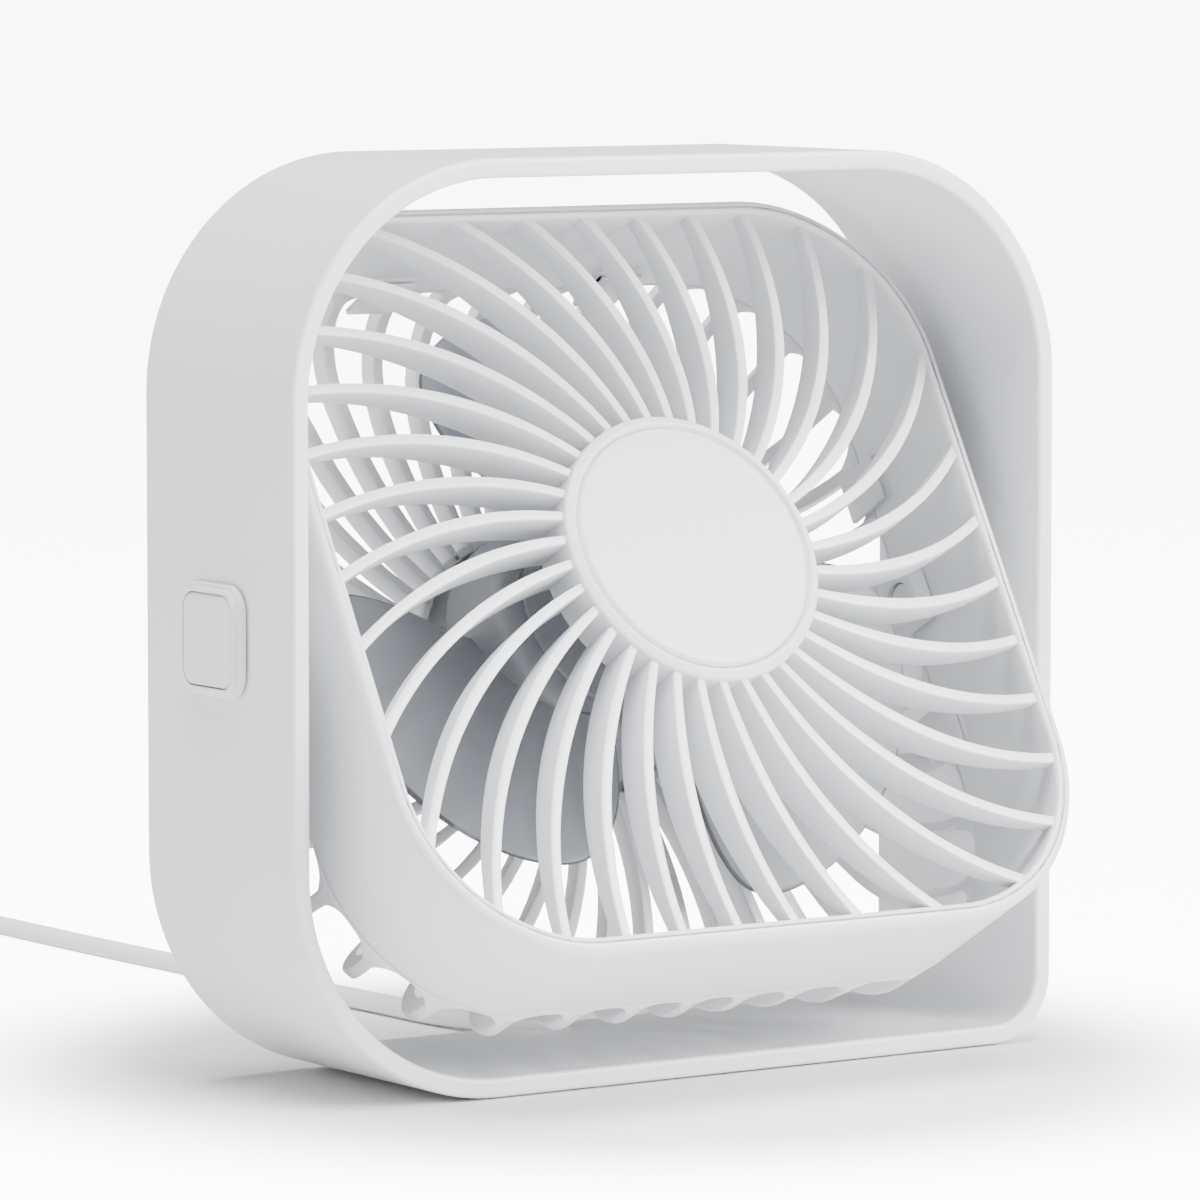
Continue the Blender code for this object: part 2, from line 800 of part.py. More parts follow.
def make_motor(head):
    """The still half of the motor: bearings, core, windings, board, screws and lead."""
    for name, low in (("bearing_rear", -18.5 * MM), ("bearing_front", -8 * MM)):
        mesh = ring(SHAFT_R + GAP, TUBE_INNER_R - GAP, low, low + 4 * MM, 20)
        add(name, mesh, STEEL, head)
    core = stator_core()
    add("stator_core", core, STEEL, head)
    winding = winding_mesh()
    for index in range(POLES):
        turn = 2 * math.pi * index / POLES
        add(f"winding_{index + 1}", winding, COPPER, head, (0, 0, 0), (0, 0, turn))
    board = ring(TUBE_OUTER_R + GAP, 17 * MM, -17.7 * MM, -16.5 * MM, 32)
    board = add("motor_board", board, BOARD, head)
    screw = turned(
        [
            (0, -14.9 * MM),
            (1.5 * MM, -14.9 * MM),
            (1.5 * MM, -16.2 * MM),
            (0.6 * MM, -16.2 * MM),
            (0.6 * MM, -19 * MM),
            (0, -19 * MM),
        ],
        12,
    )
    for index in range(MOTOR_SCREWS):
        place = around(MOTOR_SCREW_RING, index, MOTOR_SCREWS)
        hole = cylinder(0.9 * MM, -19 * MM, -15 * MM, 12)
        hole = cutter(f"board_hole_{index + 1}", hole, head, place)
        combine(board, hole, "DIFFERENCE")
        add(f"motor_screw_{index + 1}", screw, STEEL, head, place)
    lead = smooth_path(
        [
            (-17.6 * MM, 3 * MM, -17.1 * MM),
            (-24 * MM, 3 * MM, -16.6 * MM),
            (-42 * MM, 2.4 * MM, -16.5 * MM),
            (-51.5 * MM, 1.2 * MM, -13.5 * MM),
            (-55.8 * MM, 0.3 * MM, -6 * MM),
            (-56.4 * MM, 0, -1 * MM),
        ],
        16,
    )
    add("motor_lead", tube([lead], 0.8 * MM), WHITE, head)


def stator_core():
    """The motor's laminated core: a ring with a T-shaped pole in each quarter."""
    root = 7 * MM
    neck = 1.6 * MM
    tip = 14 * MM
    outside = 16 * MM
    spread = math.radians(33)
    outline = []
    half_pole = [(root, neck / root), (tip, neck / tip), (tip, spread)]
    half_pole += [(outside, spread), (outside, spread / 2)]
    pole = [(radius, -angle) for radius, angle in half_pole]
    pole += [(outside, 0)] + half_pole[::-1]
    for index in range(POLES):
        middle = 2 * math.pi * index / POLES
        for radius, angle in pole:
            at = middle + angle
            outline.append((radius * math.cos(at), radius * math.sin(at)))
    steps = 20
    inner = TUBE_OUTER_R + GAP
    bore = [
        (inner * math.cos(a), inner * math.sin(a))
        for a in (2 * math.pi * i / steps for i in range(steps))
    ]
    return plate([outline, bore], -13 * MM, -5 * MM)


def winding_mesh():
    """A coil of wire round one pole's neck."""
    outlines = []
    for half_y, low, high in ((4.2 * MM, -15 * MM, -3 * MM), (2 * MM, -13.3 * MM, -4.7 * MM)):
        outlines.append([(-half_y, low), (half_y, low), (half_y, high), (-half_y, high)])
    mesh = plate(outlines, 7.4 * MM, 12 * MM)
    for vertex in mesh.vertices:
        y, z, x = vertex.co
        vertex.co = (x, y, z)
    return mesh


def make_wheel(spin):
    """The turning half: fan wheel, shaft, magnet cup and ring magnet."""
    inside = WHEEL_HUB_R - 2.1 * MM
    hub = turned(
        [
            (0, WHEEL_FRONT),
            (WHEEL_HUB_R - 2 * MM, WHEEL_FRONT),
            (WHEEL_HUB_R, WHEEL_FRONT - 2 * MM),
            (WHEEL_HUB_R, WHEEL_BACK),
            (inside, WHEEL_BACK),
            (inside, WHEEL_FRONT - 2 * MM),
            (0, WHEEL_FRONT - 2 * MM),
        ],
        40,
    )
    wheel = add("impeller", hub, BLADE, spin)
    blade = blade_mesh()
    for index in range(BLADES):
        turn = 2 * math.pi * index / BLADES
        piece = cutter(f"blade_{index + 1}", blade, spin, (0, 0, 0), (0, 0, turn))
        solid = piece.modifiers.new("thickness", "SOLIDIFY")
        solid.thickness = BLADE_THICK
        solid.offset = 0
        combine(wheel, piece, "UNION")

    yoke_r = inside - GAP
    wall = 1 * MM
    front = WHEEL_FRONT - 2 * MM - GAP
    yoke = turned(
        [
            (SHAFT_R + GAP, front),
            (yoke_r, front),
            (yoke_r, WHEEL_BACK + 0.5 * MM),
            (yoke_r - wall, WHEEL_BACK + 0.5 * MM),
            (yoke_r - wall, front - wall),
            (SHAFT_R + 1.2 * MM, front - wall),
            (SHAFT_R + 1.2 * MM, -1.6 * MM),
            (SHAFT_R + GAP, -1.6 * MM),
        ],
        32,
    )
    add("rotor_yoke", yoke, STEEL, spin)
    outer = yoke_r - wall - GAP
    magnet = ring(outer - 1.7 * MM, outer, WHEEL_BACK + 1 * MM, -4.5 * MM, 32)
    add("rotor_magnet", magnet, DARK, spin)
    shaft = cylinder(SHAFT_R, -18.6 * MM, front - 0.5 * MM, 16)
    add("motor_shaft", smooth(shaft), STEEL, spin)
    washer = ring(SHAFT_R + GAP, 2.4 * MM, -2.6 * MM, -2 * MM, 16)
    add("thrust_washer", washer, RUBBER, spin)


def blade_mesh(across=12, out=5):
    """One blade's middle surface: it is pitched, and its tip trails its root."""
    mesh = bpy.data.meshes.new("blade")
    points = []
    faces = []
    for i in range(out + 1):
        share = i / out
        radius = WHEEL_HUB_R - 1 * MM + (WHEEL_TIP_R - WHEEL_HUB_R + 1 * MM) * share
        span = BLADE_SPAN * (0.82 + 0.18 * math.sin(math.pi * share))
        middle = BLADE_PHASE + BLADE_RAKE * share
        for j in range(across + 1):
            s = j / across - 0.5
            angle = middle + s * span
            height = (BLADE_FRONT + BLADE_BACK) / 2 + (BLADE_FRONT - BLADE_BACK) * s
            points.append((radius * math.cos(angle), radius * math.sin(angle), height))
    row = across + 1
    for i in range(out):
        for j in range(across):
            a = i * row + j
            faces.append((a, a + row, a + row + 1, a + 1))
    mesh.from_pydata(points, [], faces)
    return smooth(mesh)


# ---------------------------------------------------------------- cord


def make_cord():
    """The supply cord: gland, lying stretch, coil with its tie, and the plug."""
    block = box((-GLAND_HALF, GLAND_FRONT, 0.6 * MM), (GLAND_HALF, GLAND_BACK, 4.9 * MM))
    gland = add("cord_gland", block, WHITE)
    bevel(gland, 0.6 * MM, 2)
    boot = cylinder(2.4 * MM, GLAND_BACK - 1 * MM, BOOT_END, 20, 2.1 * MM)
    boot = cutter("gland_boot", boot, None, (0, 0, GLAND_Z), (-math.pi / 2, 0, 0))
    combine(gland, boot, "UNION")

    outer_turn = COIL_MID_R + COIL_PITCH * (COIL_COLUMNS - 1) / 2
    enter_x = COIL_X + outer_turn
    leave_x = COIL_X - outer_turn
    clear = 14 * MM  # short of the coil, where the cord meets its outer turn
    route = smooth_path(
        [
            (0, BOOT_END + GAP, GLAND_Z),
            (-0.9 * MM, 40 * MM, 2.1 * MM),
            (-2 * MM, 50 * MM, CORD_REST),
            (-2.3 * MM, 63 * MM, CORD_REST),
            (-3.2 * MM, 80 * MM, CORD_REST),
            (-5.6 * MM, 110 * MM, CORD_REST),
            (-6.9 * MM, 140 * MM, CORD_REST),
            (-7.3 * MM, 168 * MM, CORD_REST),
            (enter_x + 0.2 * MM, 195 * MM, CORD_REST + 0.2 * MM),
            (enter_x, COIL_Y - clear, COIL_BASE + COIL_PITCH / 2),
        ],
        26,
    )
    add("supply_cord", tube([route], CORD_R), WHITE)

    half = COIL_PITCH * COIL_COLUMNS / 2
    high = COIL_PITCH * COIL_LAYERS
    round_r = 1.2 * MM
    profile = [
        (COIL_MID_R + half - round_r, high),
        (COIL_MID_R + half, high - round_r),
        (COIL_MID_R + half, round_r),
        (COIL_MID_R + half - round_r, 0),
        (COIL_MID_R - half + round_r, 0),
        (COIL_MID_R - half, round_r),
        (COIL_MID_R - half, high - round_r),
        (COIL_MID_R - half + round_r, high),
    ]
    place = (COIL_X, COIL_Y, COIL_BASE)
    add("cord_coil", turned(profile, 36), WHITE, location=place)
    make_tie(half, high)

    tail = smooth_path(
        [
            (leave_x, COIL_Y - clear, COIL_BASE + 1.5 * COIL_PITCH),
            (leave_x - 1.6 * MM, 204 * MM, 5 * MM),
            (PLUG_X + 3.2 * MM, 188 * MM, PLUG_Z + 0.2 * MM),
            (PLUG_X, PLUG_END + GAP, PLUG_Z),
        ],
        10,
    )
    add("plug_cord", tube([tail], CORD_R), WHITE)
    make_plug()


def make_tie(half, high):
    """The strap round the coil's bundle, on the side away from the stand."""
    outlines = []
    for space in (GAP + TIE_THICK, GAP):
        left = COIL_MID_R - half - space
        right = COIL_MID_R + half + space
        top = COIL_BASE + high + space
        outline = rounded_box_outline(
            left, right, COIL_BASE - space, top, [1 * MM + space] * 4, 3
        )
        outlines.append(outline)
    strap = plate(outlines, -2.5 * MM, 2.5 * MM)
    outward = (math.pi / 2, 0, math.pi / 2)  # local +X points to +Y, local +Y up
    add("coil_tie", strap, RUBBER, location=(COIL_X, COIL_Y, 0), rotation=outward)


def make_plug():
    """The plug at the cord's far end: moulded body with its boot, metal shell and contact tongue."""
    back = PLUG_END - 8 * MM
    front = back - 26 * MM
    tip = front - 18.5 * MM
    body = box((-7.6 * MM, front, -4 * MM), (7.6 * MM, back, 4 * MM))
    place = (PLUG_X, 0, PLUG_Z)
    body = add("plug_body", body, WHITE, location=place)
    bevel(body, 1.4 * MM, 2)
    sleeve = cylinder(2.3 * MM, -PLUG_END, -back + 1 * MM, 16, 2.9 * MM)
    sleeve = cutter("plug_boot", sleeve, None, place, (math.pi / 2, 0, 0))
    combine(body, sleeve, "UNION")

    shell = box((-6 * MM, tip, -2.25 * MM), (6 * MM, front - GAP, 2.25 * MM))
    shell = add("plug_shell", shell, STEEL, location=place)
    mouth = box((-5.65 * MM, tip - 1 * MM, -1.9 * MM), (5.65 * MM, front - 1 * MM, 1.9 * MM))
    combine(shell, cutter("plug_mouth", mouth, None, place), "DIFFERENCE")
    tongue = box((-5.3 * MM, tip + 0.8 * MM, -0.1 * MM), (5.3 * MM, front - 1.3 * MM, 1.6 * MM))
    add("plug_tongue", tongue, WHITE, location=place)


# ---------------------------------------------------------------- assembly

clear_scene()
PART = collection("desk_fan")
CUTTERS = collection("cutters")
WHITE = finish("white_plastic", (0.86, 0.87, 0.88), 0.32)
BUTTON = finish("button_plastic", (0.80, 0.81, 0.82), 0.3)
BLADE = finish("blade_plastic", (0.72, 0.73, 0.75), 0.4)
RUBBER = finish("grey_rubber", (0.32, 0.32, 0.33), 0.8)
DARK = finish("dark_parts", (0.05, 0.05, 0.055), 0.5)
STEEL = finish("steel", (0.62, 0.62, 0.62), 0.3, 1.0)
COPPER = finish("copper_wire", (0.72, 0.36, 0.18), 0.35, 1.0)
BOARD = finish("circuit_board", (0.04, 0.22, 0.10), 0.5)

HEAD = empty("head_tilt", (0, 0, PIVOT_Z), (math.pi / 2 - TILT, 0, 0))
SPIN = empty("wheel_spin", (0, 0, 0), parent=HEAD)
BORE = cutter(
    "pivot_bore",
    cylinder(NECK_R + GAP, -HEAD_HALF - 2 * MM, HEAD_HALF + 2 * MM, 24),
    HEAD,
    (0, 0, 0),
    (0, math.pi / 2, 0),
)

make_stand()
make_switch()
make_pivots()
make_front_shell(HEAD, BORE)
make_rear_shell(HEAD, BORE)
make_bushes(HEAD)
make_motor(HEAD)
make_wheel(SPIN)
make_cord()
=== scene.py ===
import json
import math

import bmesh
import bpy
import numpy as np
from mathutils import Matrix


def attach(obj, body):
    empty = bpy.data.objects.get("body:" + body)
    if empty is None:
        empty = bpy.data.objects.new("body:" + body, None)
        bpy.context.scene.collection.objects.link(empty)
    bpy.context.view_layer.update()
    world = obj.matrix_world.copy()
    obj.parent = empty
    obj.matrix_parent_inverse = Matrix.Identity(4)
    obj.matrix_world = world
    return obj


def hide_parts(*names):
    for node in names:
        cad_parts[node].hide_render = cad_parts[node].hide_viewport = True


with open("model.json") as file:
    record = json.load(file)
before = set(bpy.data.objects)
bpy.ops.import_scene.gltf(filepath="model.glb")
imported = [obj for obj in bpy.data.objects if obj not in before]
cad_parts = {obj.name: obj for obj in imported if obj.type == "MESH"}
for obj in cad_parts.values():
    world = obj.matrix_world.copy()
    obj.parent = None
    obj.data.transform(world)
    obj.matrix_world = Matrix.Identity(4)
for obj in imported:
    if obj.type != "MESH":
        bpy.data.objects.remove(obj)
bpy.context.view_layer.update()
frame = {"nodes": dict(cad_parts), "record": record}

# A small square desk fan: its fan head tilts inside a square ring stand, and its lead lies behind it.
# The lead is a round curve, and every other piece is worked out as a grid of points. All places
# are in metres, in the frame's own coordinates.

MM = 0.001
GAP = 0.3 * MM

# Stand
STAND_HALF = 72.5 * MM
STAND_TOP = 145.7 * MM
STAND_BASE = 0.3 * MM
STAND_HALF_DEPTH = 21.8 * MM
STAND_WALL = 3.06 * MM
WIDE_R = 37 * MM
TIGHT_R = 11 * MM
PIVOT_Z = 70.9 * MM
SWITCH_Z = PIVOT_Z + 1 * MM

# Head
TILT = math.radians(29.8)
HEAD_HALF = 63.8 * MM
HEAD_R = 29.8 * MM
HEAD_WALL = 2.7 * MM
TURN_STEPS = 32
HEAD_DEPTH = 21.8 * MM
SEAM = -3 * MM
HUB_R = 22.4 * MM
HUB_RIM_R = 22.9 * MM
HUB_FRONT = 27.9 * MM
RIB_FRONT = 26.6 * MM
RIM_FRONT = 21 * MM
RIB_BACK = 18.6 * MM
FRONT_RIBS = 35
FRONT_RIB_PHASE = math.radians(-2)
REAR_RIBS = 40
REAR_EDGE_R = 14 * MM
REAR_RIB_DEPTH = 4 * MM
REAR_HUB_R = 24 * MM
SLOT_FRONT = -4.8 * MM
TWIST_LINEAR = math.radians(0.36) / MM
TWIST_SQUARE = math.radians(0.0016) / MM**2
TWIST_EASE = 52 * MM
TWIST_EASE_LENGTH = 20 * MM
REAR_SLOT_PHASE = math.radians(-0.4)
HUB_CAP_BACK = 24.5 * MM
POST_CIRCLE_R = 14 * MM

# Fan wheel
WHEEL_HUB_R = 22.5 * MM
WHEEL_TIP_R = 54 * MM
WHEEL_FRONT = 4 * MM
WHEEL_BACK = -13 * MM
BLADES = 3
BLADE_HALF_SPAN = math.radians(41)
BLADE_PHASE = math.radians(92)
BLADE_RAKE = math.radians(-8)
BLADE_MIDDLE = -0.25 * MM
BLADE_HALF_HEIGHT = 5.75 * MM
BLADE_THICK = 1.2 * MM
BLADE_ROOT_R = WHEEL_HUB_R - 1 * MM
BLADE_TIP_START = 0.66
BLADE_TIP_LENGTH = 0.34

# Lead
CORD_R = 1.75 * MM
CORD_REST = CORD_R + 0.03 * MM
COIL_X = -32.6 * MM
COIL_Y = 232 * MM
COIL_PITCH = 3.6 * MM
COIL_MID_R = 21 * MM
COIL_LOW = 2.8 * MM

# Camera, lights and floor
CAMERA_PLACE = (-0.652, -0.956, 0.181)
CAMERA_AZIMUTH = math.radians(34.23)
CAMERA_ELEVATION = math.radians(5.27)
CAMERA_LENS = 219
FAN_MIDDLE = (0, 0, 0.07)
ROOM_LIGHT = 0.17
FLOOR_GLOW = 9.0
FLOOR_GLOW_START = 0.065
FLOOR_GLOW_FULL = 0.135

X_AXIS = np.array([1.0, 0.0, 0.0])
HEAD_UP = np.array([0.0, math.sin(TILT), math.cos(TILT)])
HEAD_OUT = np.array([0.0, -math.cos(TILT), math.sin(TILT)])
PIVOT = np.array([0.0, 0.0, PIVOT_Z])


# ---------------------------------------------------------------- shapes


def head_place(points):
    """Points (across, up, out) of the head's own frame, placed in the part's own coordinates."""
    return PIVOT + points[..., :1] * X_AXIS + points[..., 1:2] * HEAD_UP + points[..., 2:] * HEAD_OUT


def row_of(*columns):
    """Stacks coordinate arrays of any matching shape into points."""
    return np.stack(np.broadcast_arrays(*columns), axis=-1)


def rounded(corners, radii, steps=5, support=0.35 * MM):
    """A closed outline with each corner turned by its own radius.

    Each corner is an arc between the two points that lie radius * tan(turn / 2) from it, and a
    support point lies just beyond each end of the arc to keep the flats flat.
    """
    corners = np.array(corners, float)
    count = len(corners)
    out = []
    for index in range(count):
        here = corners[index]
        before = corners[index - 1] - here
        after = corners[(index + 1) % count] - here
        before = before / np.linalg.norm(before)
        after = after / np.linalg.norm(after)
        half = math.acos(np.clip(before @ after, -1, 1)) / 2
        reach = radii[index] / math.tan(half)
        inward = before + after
        middle = here + inward / np.linalg.norm(inward) * radii[index] / math.sin(half)
        start = here + before * reach - middle
        stop = here + after * reach - middle
        turn = math.atan2(start[0] * stop[1] - start[1] * stop[0], start @ stop)
        angles = np.linspace(0, turn, steps + 1)[:, None]
        side = np.array([-start[1], start[0]])
        arc = middle + start * np.cos(angles) + side * np.sin(angles)
        out += [here + before * (reach + support), *arc, here + after * (reach + support)]
    return np.array(out)


def square_path(left, right, bottom, top, radii, steps=24):
    """A closed round-cornered path and its outward normals; radii run from bottom left, anticlockwise."""
    corners = ((left, bottom), (right, bottom), (right, top), (left, top))
    inward = ((1, 1), (-1, 1), (-1, -1), (1, -1))
    places = []
    normals = []
    for index in range(4):
        radius = radii[index]
        angles = math.pi * (1 + index / 2) + np.linspace(0, math.pi / 2, steps + 1)
        facing = row_of(np.cos(angles), np.sin(angles))
        arc = np.array(corners[index]) + np.array(inward[index]) * radius + facing * radius
        lead = np.array([arc[0] - 1 * MM * np.array([-facing[0][1], facing[0][0]])])
        tail = np.array([arc[-1] + 1 * MM * np.array([-facing[-1][1], facing[-1][0]])])
        places += [lead, arc, tail]
        normals += [facing[:1], facing, facing[-1:]]
    return np.concatenate(places), np.concatenate(normals)


def carried(profile, path, normals):
    """A grid (path, profile).

    The profile's first number goes along the path's normal, and its second becomes the third coordinate.
    """
    flat = path[:, None, :] + normals[:, None, :] * profile[None, :, :1]
    return np.concatenate([flat, np.broadcast_to(profile[None, :, 1:], flat.shape[:2] + (1,))], axis=2)


def turned(profile, steps=96):
    """A grid of the (radius, height) profile turned about the third axis."""
    profile = np.array(profile, float)
    angles = np.linspace(0, 2 * math.pi, steps, endpoint=False)[:, None]
    radius = profile[None, :, 0]
    return row_of(radius * np.cos(angles), radius * np.sin(angles), profile[None, :, 1])


def block(middle, half, radius, steps=6):
    """A rounded block: a ball of the edge radius, each eighth of it moved out to its own corner."""
    around = (np.arange(4 * steps) + 0.5) / (4 * steps) * 2 * math.pi
    rise = (np.arange(2 * steps) + 0.5) / (2 * steps) * math.pi - math.pi / 2
    u, v = np.meshgrid(around, rise, indexing="ij")
    ball = row_of(np.cos(v) * np.cos(u), np.cos(v) * np.sin(u), np.sin(v))
    half = np.array(half)
    return np.array(middle) + ball * radius + np.sign(ball) * (half - radius)


def quads(rows, columns, wrap_rows, wrap_columns):
    """Corner numbers of a grid's four-sided faces."""
    i = np.arange(rows if wrap_rows else rows - 1)
    j = np.arange(columns if wrap_columns else columns - 1)
    i, j = np.meshgrid(i, j, indexing="ij")
    after_i = (i + 1) % rows
    after_j = (j + 1) % columns
    corners = (i * columns + j, after_i * columns + j, after_i * columns + after_j, i * columns + after_j)
    return np.stack([c.ravel() for c in corners], axis=1)


def loop_piece(grid):
    """A grid closed both ways, such as a profile ring carried round a closed path."""
    return grid.reshape(-1, 3), quads(*grid.shape[:2], True, True).tolist()


def tube_piece(grid):
    """A grid of closed cross-sections in rows, capped at its first and last row."""
    rows, columns = grid.shape[:2]
    faces = quads(rows, columns, False, True).tolist()
    faces.append(list(range(columns)))
    faces.append(list(range((rows - 1) * columns, rows * columns)))
    return grid.reshape(-1, 3), faces


def turned_piece(profile, steps=96):
    """A turned solid: a profile that starts on the axis ends there too, any other closes on itself."""
    profile = np.array(profile, float)
    grid = turned(profile, steps)
    closed = profile[0, 0] > 0
    return grid.reshape(-1, 3), quads(*grid.shape[:2], True, closed).tolist()


def block_piece(middle, half, radius, steps=6):
    """A rounded block as a closed surface."""
    return tube_piece(np.swapaxes(block(middle, half, radius, steps), 0, 1))


def placed(part, where):
    """The same closed surface with its points placed by a function."""
    return where(part[0]), part[1]


def make_mesh(name, parts, angle=40):
    """One mesh of several closed surfaces, poles merged, faces outward, shaded smooth up to an angle."""
    places = []
    faces = []
    count = 0
    for points, corners in parts:
        places.append(points)
        faces += [[number + count for number in face] for face in corners]
        count += len(points)
    mesh = bpy.data.meshes.new(name)
    mesh.from_pydata(np.concatenate(places).tolist(), [], faces)
    bm = bmesh.new()
    bm.from_mesh(mesh)
    bmesh.ops.remove_doubles(bm, verts=bm.verts, dist=0.001 * MM)
    bmesh.ops.recalc_face_normals(bm, faces=bm.faces)
    bm.to_mesh(mesh)
    bm.free()
    mesh.shade_smooth()
    mesh.set_sharp_from_angle(angle=math.radians(angle))
    return mesh


def add_piece(name, parts, body, material, stands_for, angle=40):
    """A new piece that rides a body and stands for its CAD nodes."""
    piece = bpy.data.objects.new(name, make_mesh(name, parts, angle))
    bpy.context.scene.collection.objects.link(piece)
    piece.data.materials.append(material)
    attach(piece, body)
    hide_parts(*stands_for)
    return piece


def cut(piece, parts):
    """Takes closed surfaces out of a piece with an exact Boolean, and keeps the result as its mesh."""
    tool = bpy.data.objects.new("tool", make_mesh("tool", parts))
    bpy.context.scene.collection.objects.link(tool)
    mod = piece.modifiers.new("cut", "BOOLEAN")
    mod.operation = "DIFFERENCE"
    mod.solver = "EXACT"
    mod.object = tool
    bpy.context.view_layer.update()
    graph = bpy.context.evaluated_depsgraph_get()
    mesh = bpy.data.meshes.new_from_object(piece.evaluated_get(graph))
    piece.modifiers.remove(mod)
    mesh.set_sharp_from_angle(angle=math.radians(40))
    piece.data = mesh
    bpy.data.objects.remove(tool, do_unlink=True)


# ---------------------------------------------------------------- materials


def socket(group, name, kind, way, value=None):
    """A named input or output of a node group."""
    made = group.interface.new_socket(name=name, in_out=way, socket_type=kind)
    if value is not None:
        made.default_value = value


def moulded_group():
    """Moulded plastic: faint flow clouds in its colour, and a fine grain in its gloss and relief."""
    group = bpy.data.node_groups.new("moulded_finish", "ShaderNodeTree")
    socket(group, "Color", "NodeSocketColor", "INPUT", (0.8, 0.8, 0.8, 1))
    socket(group, "Shade", "NodeSocketFloat", "INPUT", 0.04)
    socket(group, "Roughness", "NodeSocketFloat", "INPUT", 0.35)
    socket(group, "Spread", "NodeSocketFloat", "INPUT", 0.06)
    socket(group, "Grain", "NodeSocketFloat", "INPUT", 2600.0)
    socket(group, "Color", "NodeSocketColor", "OUTPUT")
    socket(group, "Roughness", "NodeSocketFloat", "OUTPUT")
    socket(group, "Height", "NodeSocketFloat", "OUTPUT")
    nodes, links = group.nodes, group.links
    inputs = nodes.new("NodeGroupInput")
    outputs = nodes.new("NodeGroupOutput")
    place = nodes.new("ShaderNodeTexCoord")

    clouds = nodes.new("ShaderNodeTexNoise")
    clouds.inputs["Scale"].default_value = 34
    clouds.inputs["Detail"].default_value = 4
    links.new(place.outputs["Object"], clouds.inputs["Vector"])
    grain = nodes.new("ShaderNodeTexNoise")
    grain.inputs["Detail"].default_value = 3
    grain.inputs["Roughness"].default_value = 0.6
    links.new(inputs.outputs["Grain"], grain.inputs["Scale"])
    links.new(place.outputs["Object"], grain.inputs["Vector"])

    centred = nodes.new("ShaderNodeMath")
    centred.operation = "SUBTRACT"
    centred.inputs[1].default_value = 0.5
    links.new(clouds.outputs["Fac"], centred.inputs[0])
    shade = nodes.new("ShaderNodeMath")
    shade.operation = "MULTIPLY"
    links.new(centred.outputs[0], shade.inputs[0])
    links.new(inputs.outputs["Shade"], shade.inputs[1])
    lift = nodes.new("ShaderNodeMath")
    lift.operation = "ADD"
    lift.inputs[1].default_value = 1
    links.new(shade.outputs[0], lift.inputs[0])
    tint = nodes.new("ShaderNodeVectorMath")
    tint.operation = "SCALE"
    links.new(inputs.outputs["Color"], tint.inputs[0])
    links.new(lift.outputs[0], tint.inputs["Scale"])
    links.new(tint.outputs[0], outputs.inputs["Color"])

    mixed = nodes.new("ShaderNodeMath")
    mixed.operation = "MULTIPLY_ADD"
    links.new(grain.outputs["Fac"], mixed.inputs[0])
    links.new(inputs.outputs["Spread"], mixed.inputs[1])
    links.new(inputs.outputs["Roughness"], mixed.inputs[2])
    links.new(mixed.outputs[0], outputs.inputs["Roughness"])
    links.new(grain.outputs["Fac"], outputs.inputs["Height"])
    return group


def moulded(name, rgb, roughness, shade=0.04, spread=0.08, grain=2600, bump=0.02, metallic=0.0):
    """A material of the moulded finish with its own colour, gloss and grain."""
    material = bpy.data.materials.new(name)
    material.use_nodes = True
    nodes, links = material.node_tree.nodes, material.node_tree.links
    shader = nodes["Principled BSDF"]
    look = nodes.new("ShaderNodeGroup")
    look.node_tree = MOULDED
    look.inputs["Color"].default_value = (*rgb, 1)
    look.inputs["Shade"].default_value = shade
    look.inputs["Roughness"].default_value = roughness
    look.inputs["Spread"].default_value = spread
    look.inputs["Grain"].default_value = grain
    relief = nodes.new("ShaderNodeBump")
    relief.inputs["Strength"].default_value = bump
    relief.inputs["Distance"].default_value = 0.2 * MM
    links.new(look.outputs["Color"], shader.inputs["Base Color"])
    links.new(look.outputs["Roughness"], shader.inputs["Roughness"])
    links.new(look.outputs["Height"], relief.inputs["Height"])
    links.new(relief.outputs["Normal"], shader.inputs["Normal"])
    shader.inputs["Metallic"].default_value = metallic
    return material


MOULDED = moulded_group()
WHITE = moulded("white_plastic", (0.74, 0.75, 0.77), 0.30)
BUTTON = moulded("button_plastic", (0.70, 0.71, 0.74), 0.26, bump=0.015)
BLADE = moulded("blade_plastic", (0.22, 0.23, 0.25), 0.36)
# Painted shade: a near-black finish for the blades' edge band, standing in for the shaded blade edges.
EDGE_SHADE = moulded("blade_edge_shade", (0.10, 0.10, 0.11), 0.5)
CORD = moulded("cord_sheath", (0.80, 0.80, 0.81), 0.45, grain=1500, bump=0.05)
RUBBER = moulded("grey_rubber", (0.30, 0.30, 0.31), 0.75, shade=0.15, grain=1800, bump=0.12)
DARK = moulded("dark_parts", (0.045, 0.045, 0.05), 0.45, shade=0.2)
STEEL = moulded("steel", (0.62, 0.62, 0.61), 0.24, shade=0.12, spread=0.2, grain=900, bump=0.04, metallic=1)
COPPER = moulded("copper_wire", (0.72, 0.34, 0.16), 0.3, shade=0.3, grain=1200, bump=0.3, metallic=1)
BOARD = moulded("circuit_board", (0.03, 0.18, 0.08), 0.4, shade=0.4, grain=700, bump=0.1)


# ---------------------------------------------------------------- stand


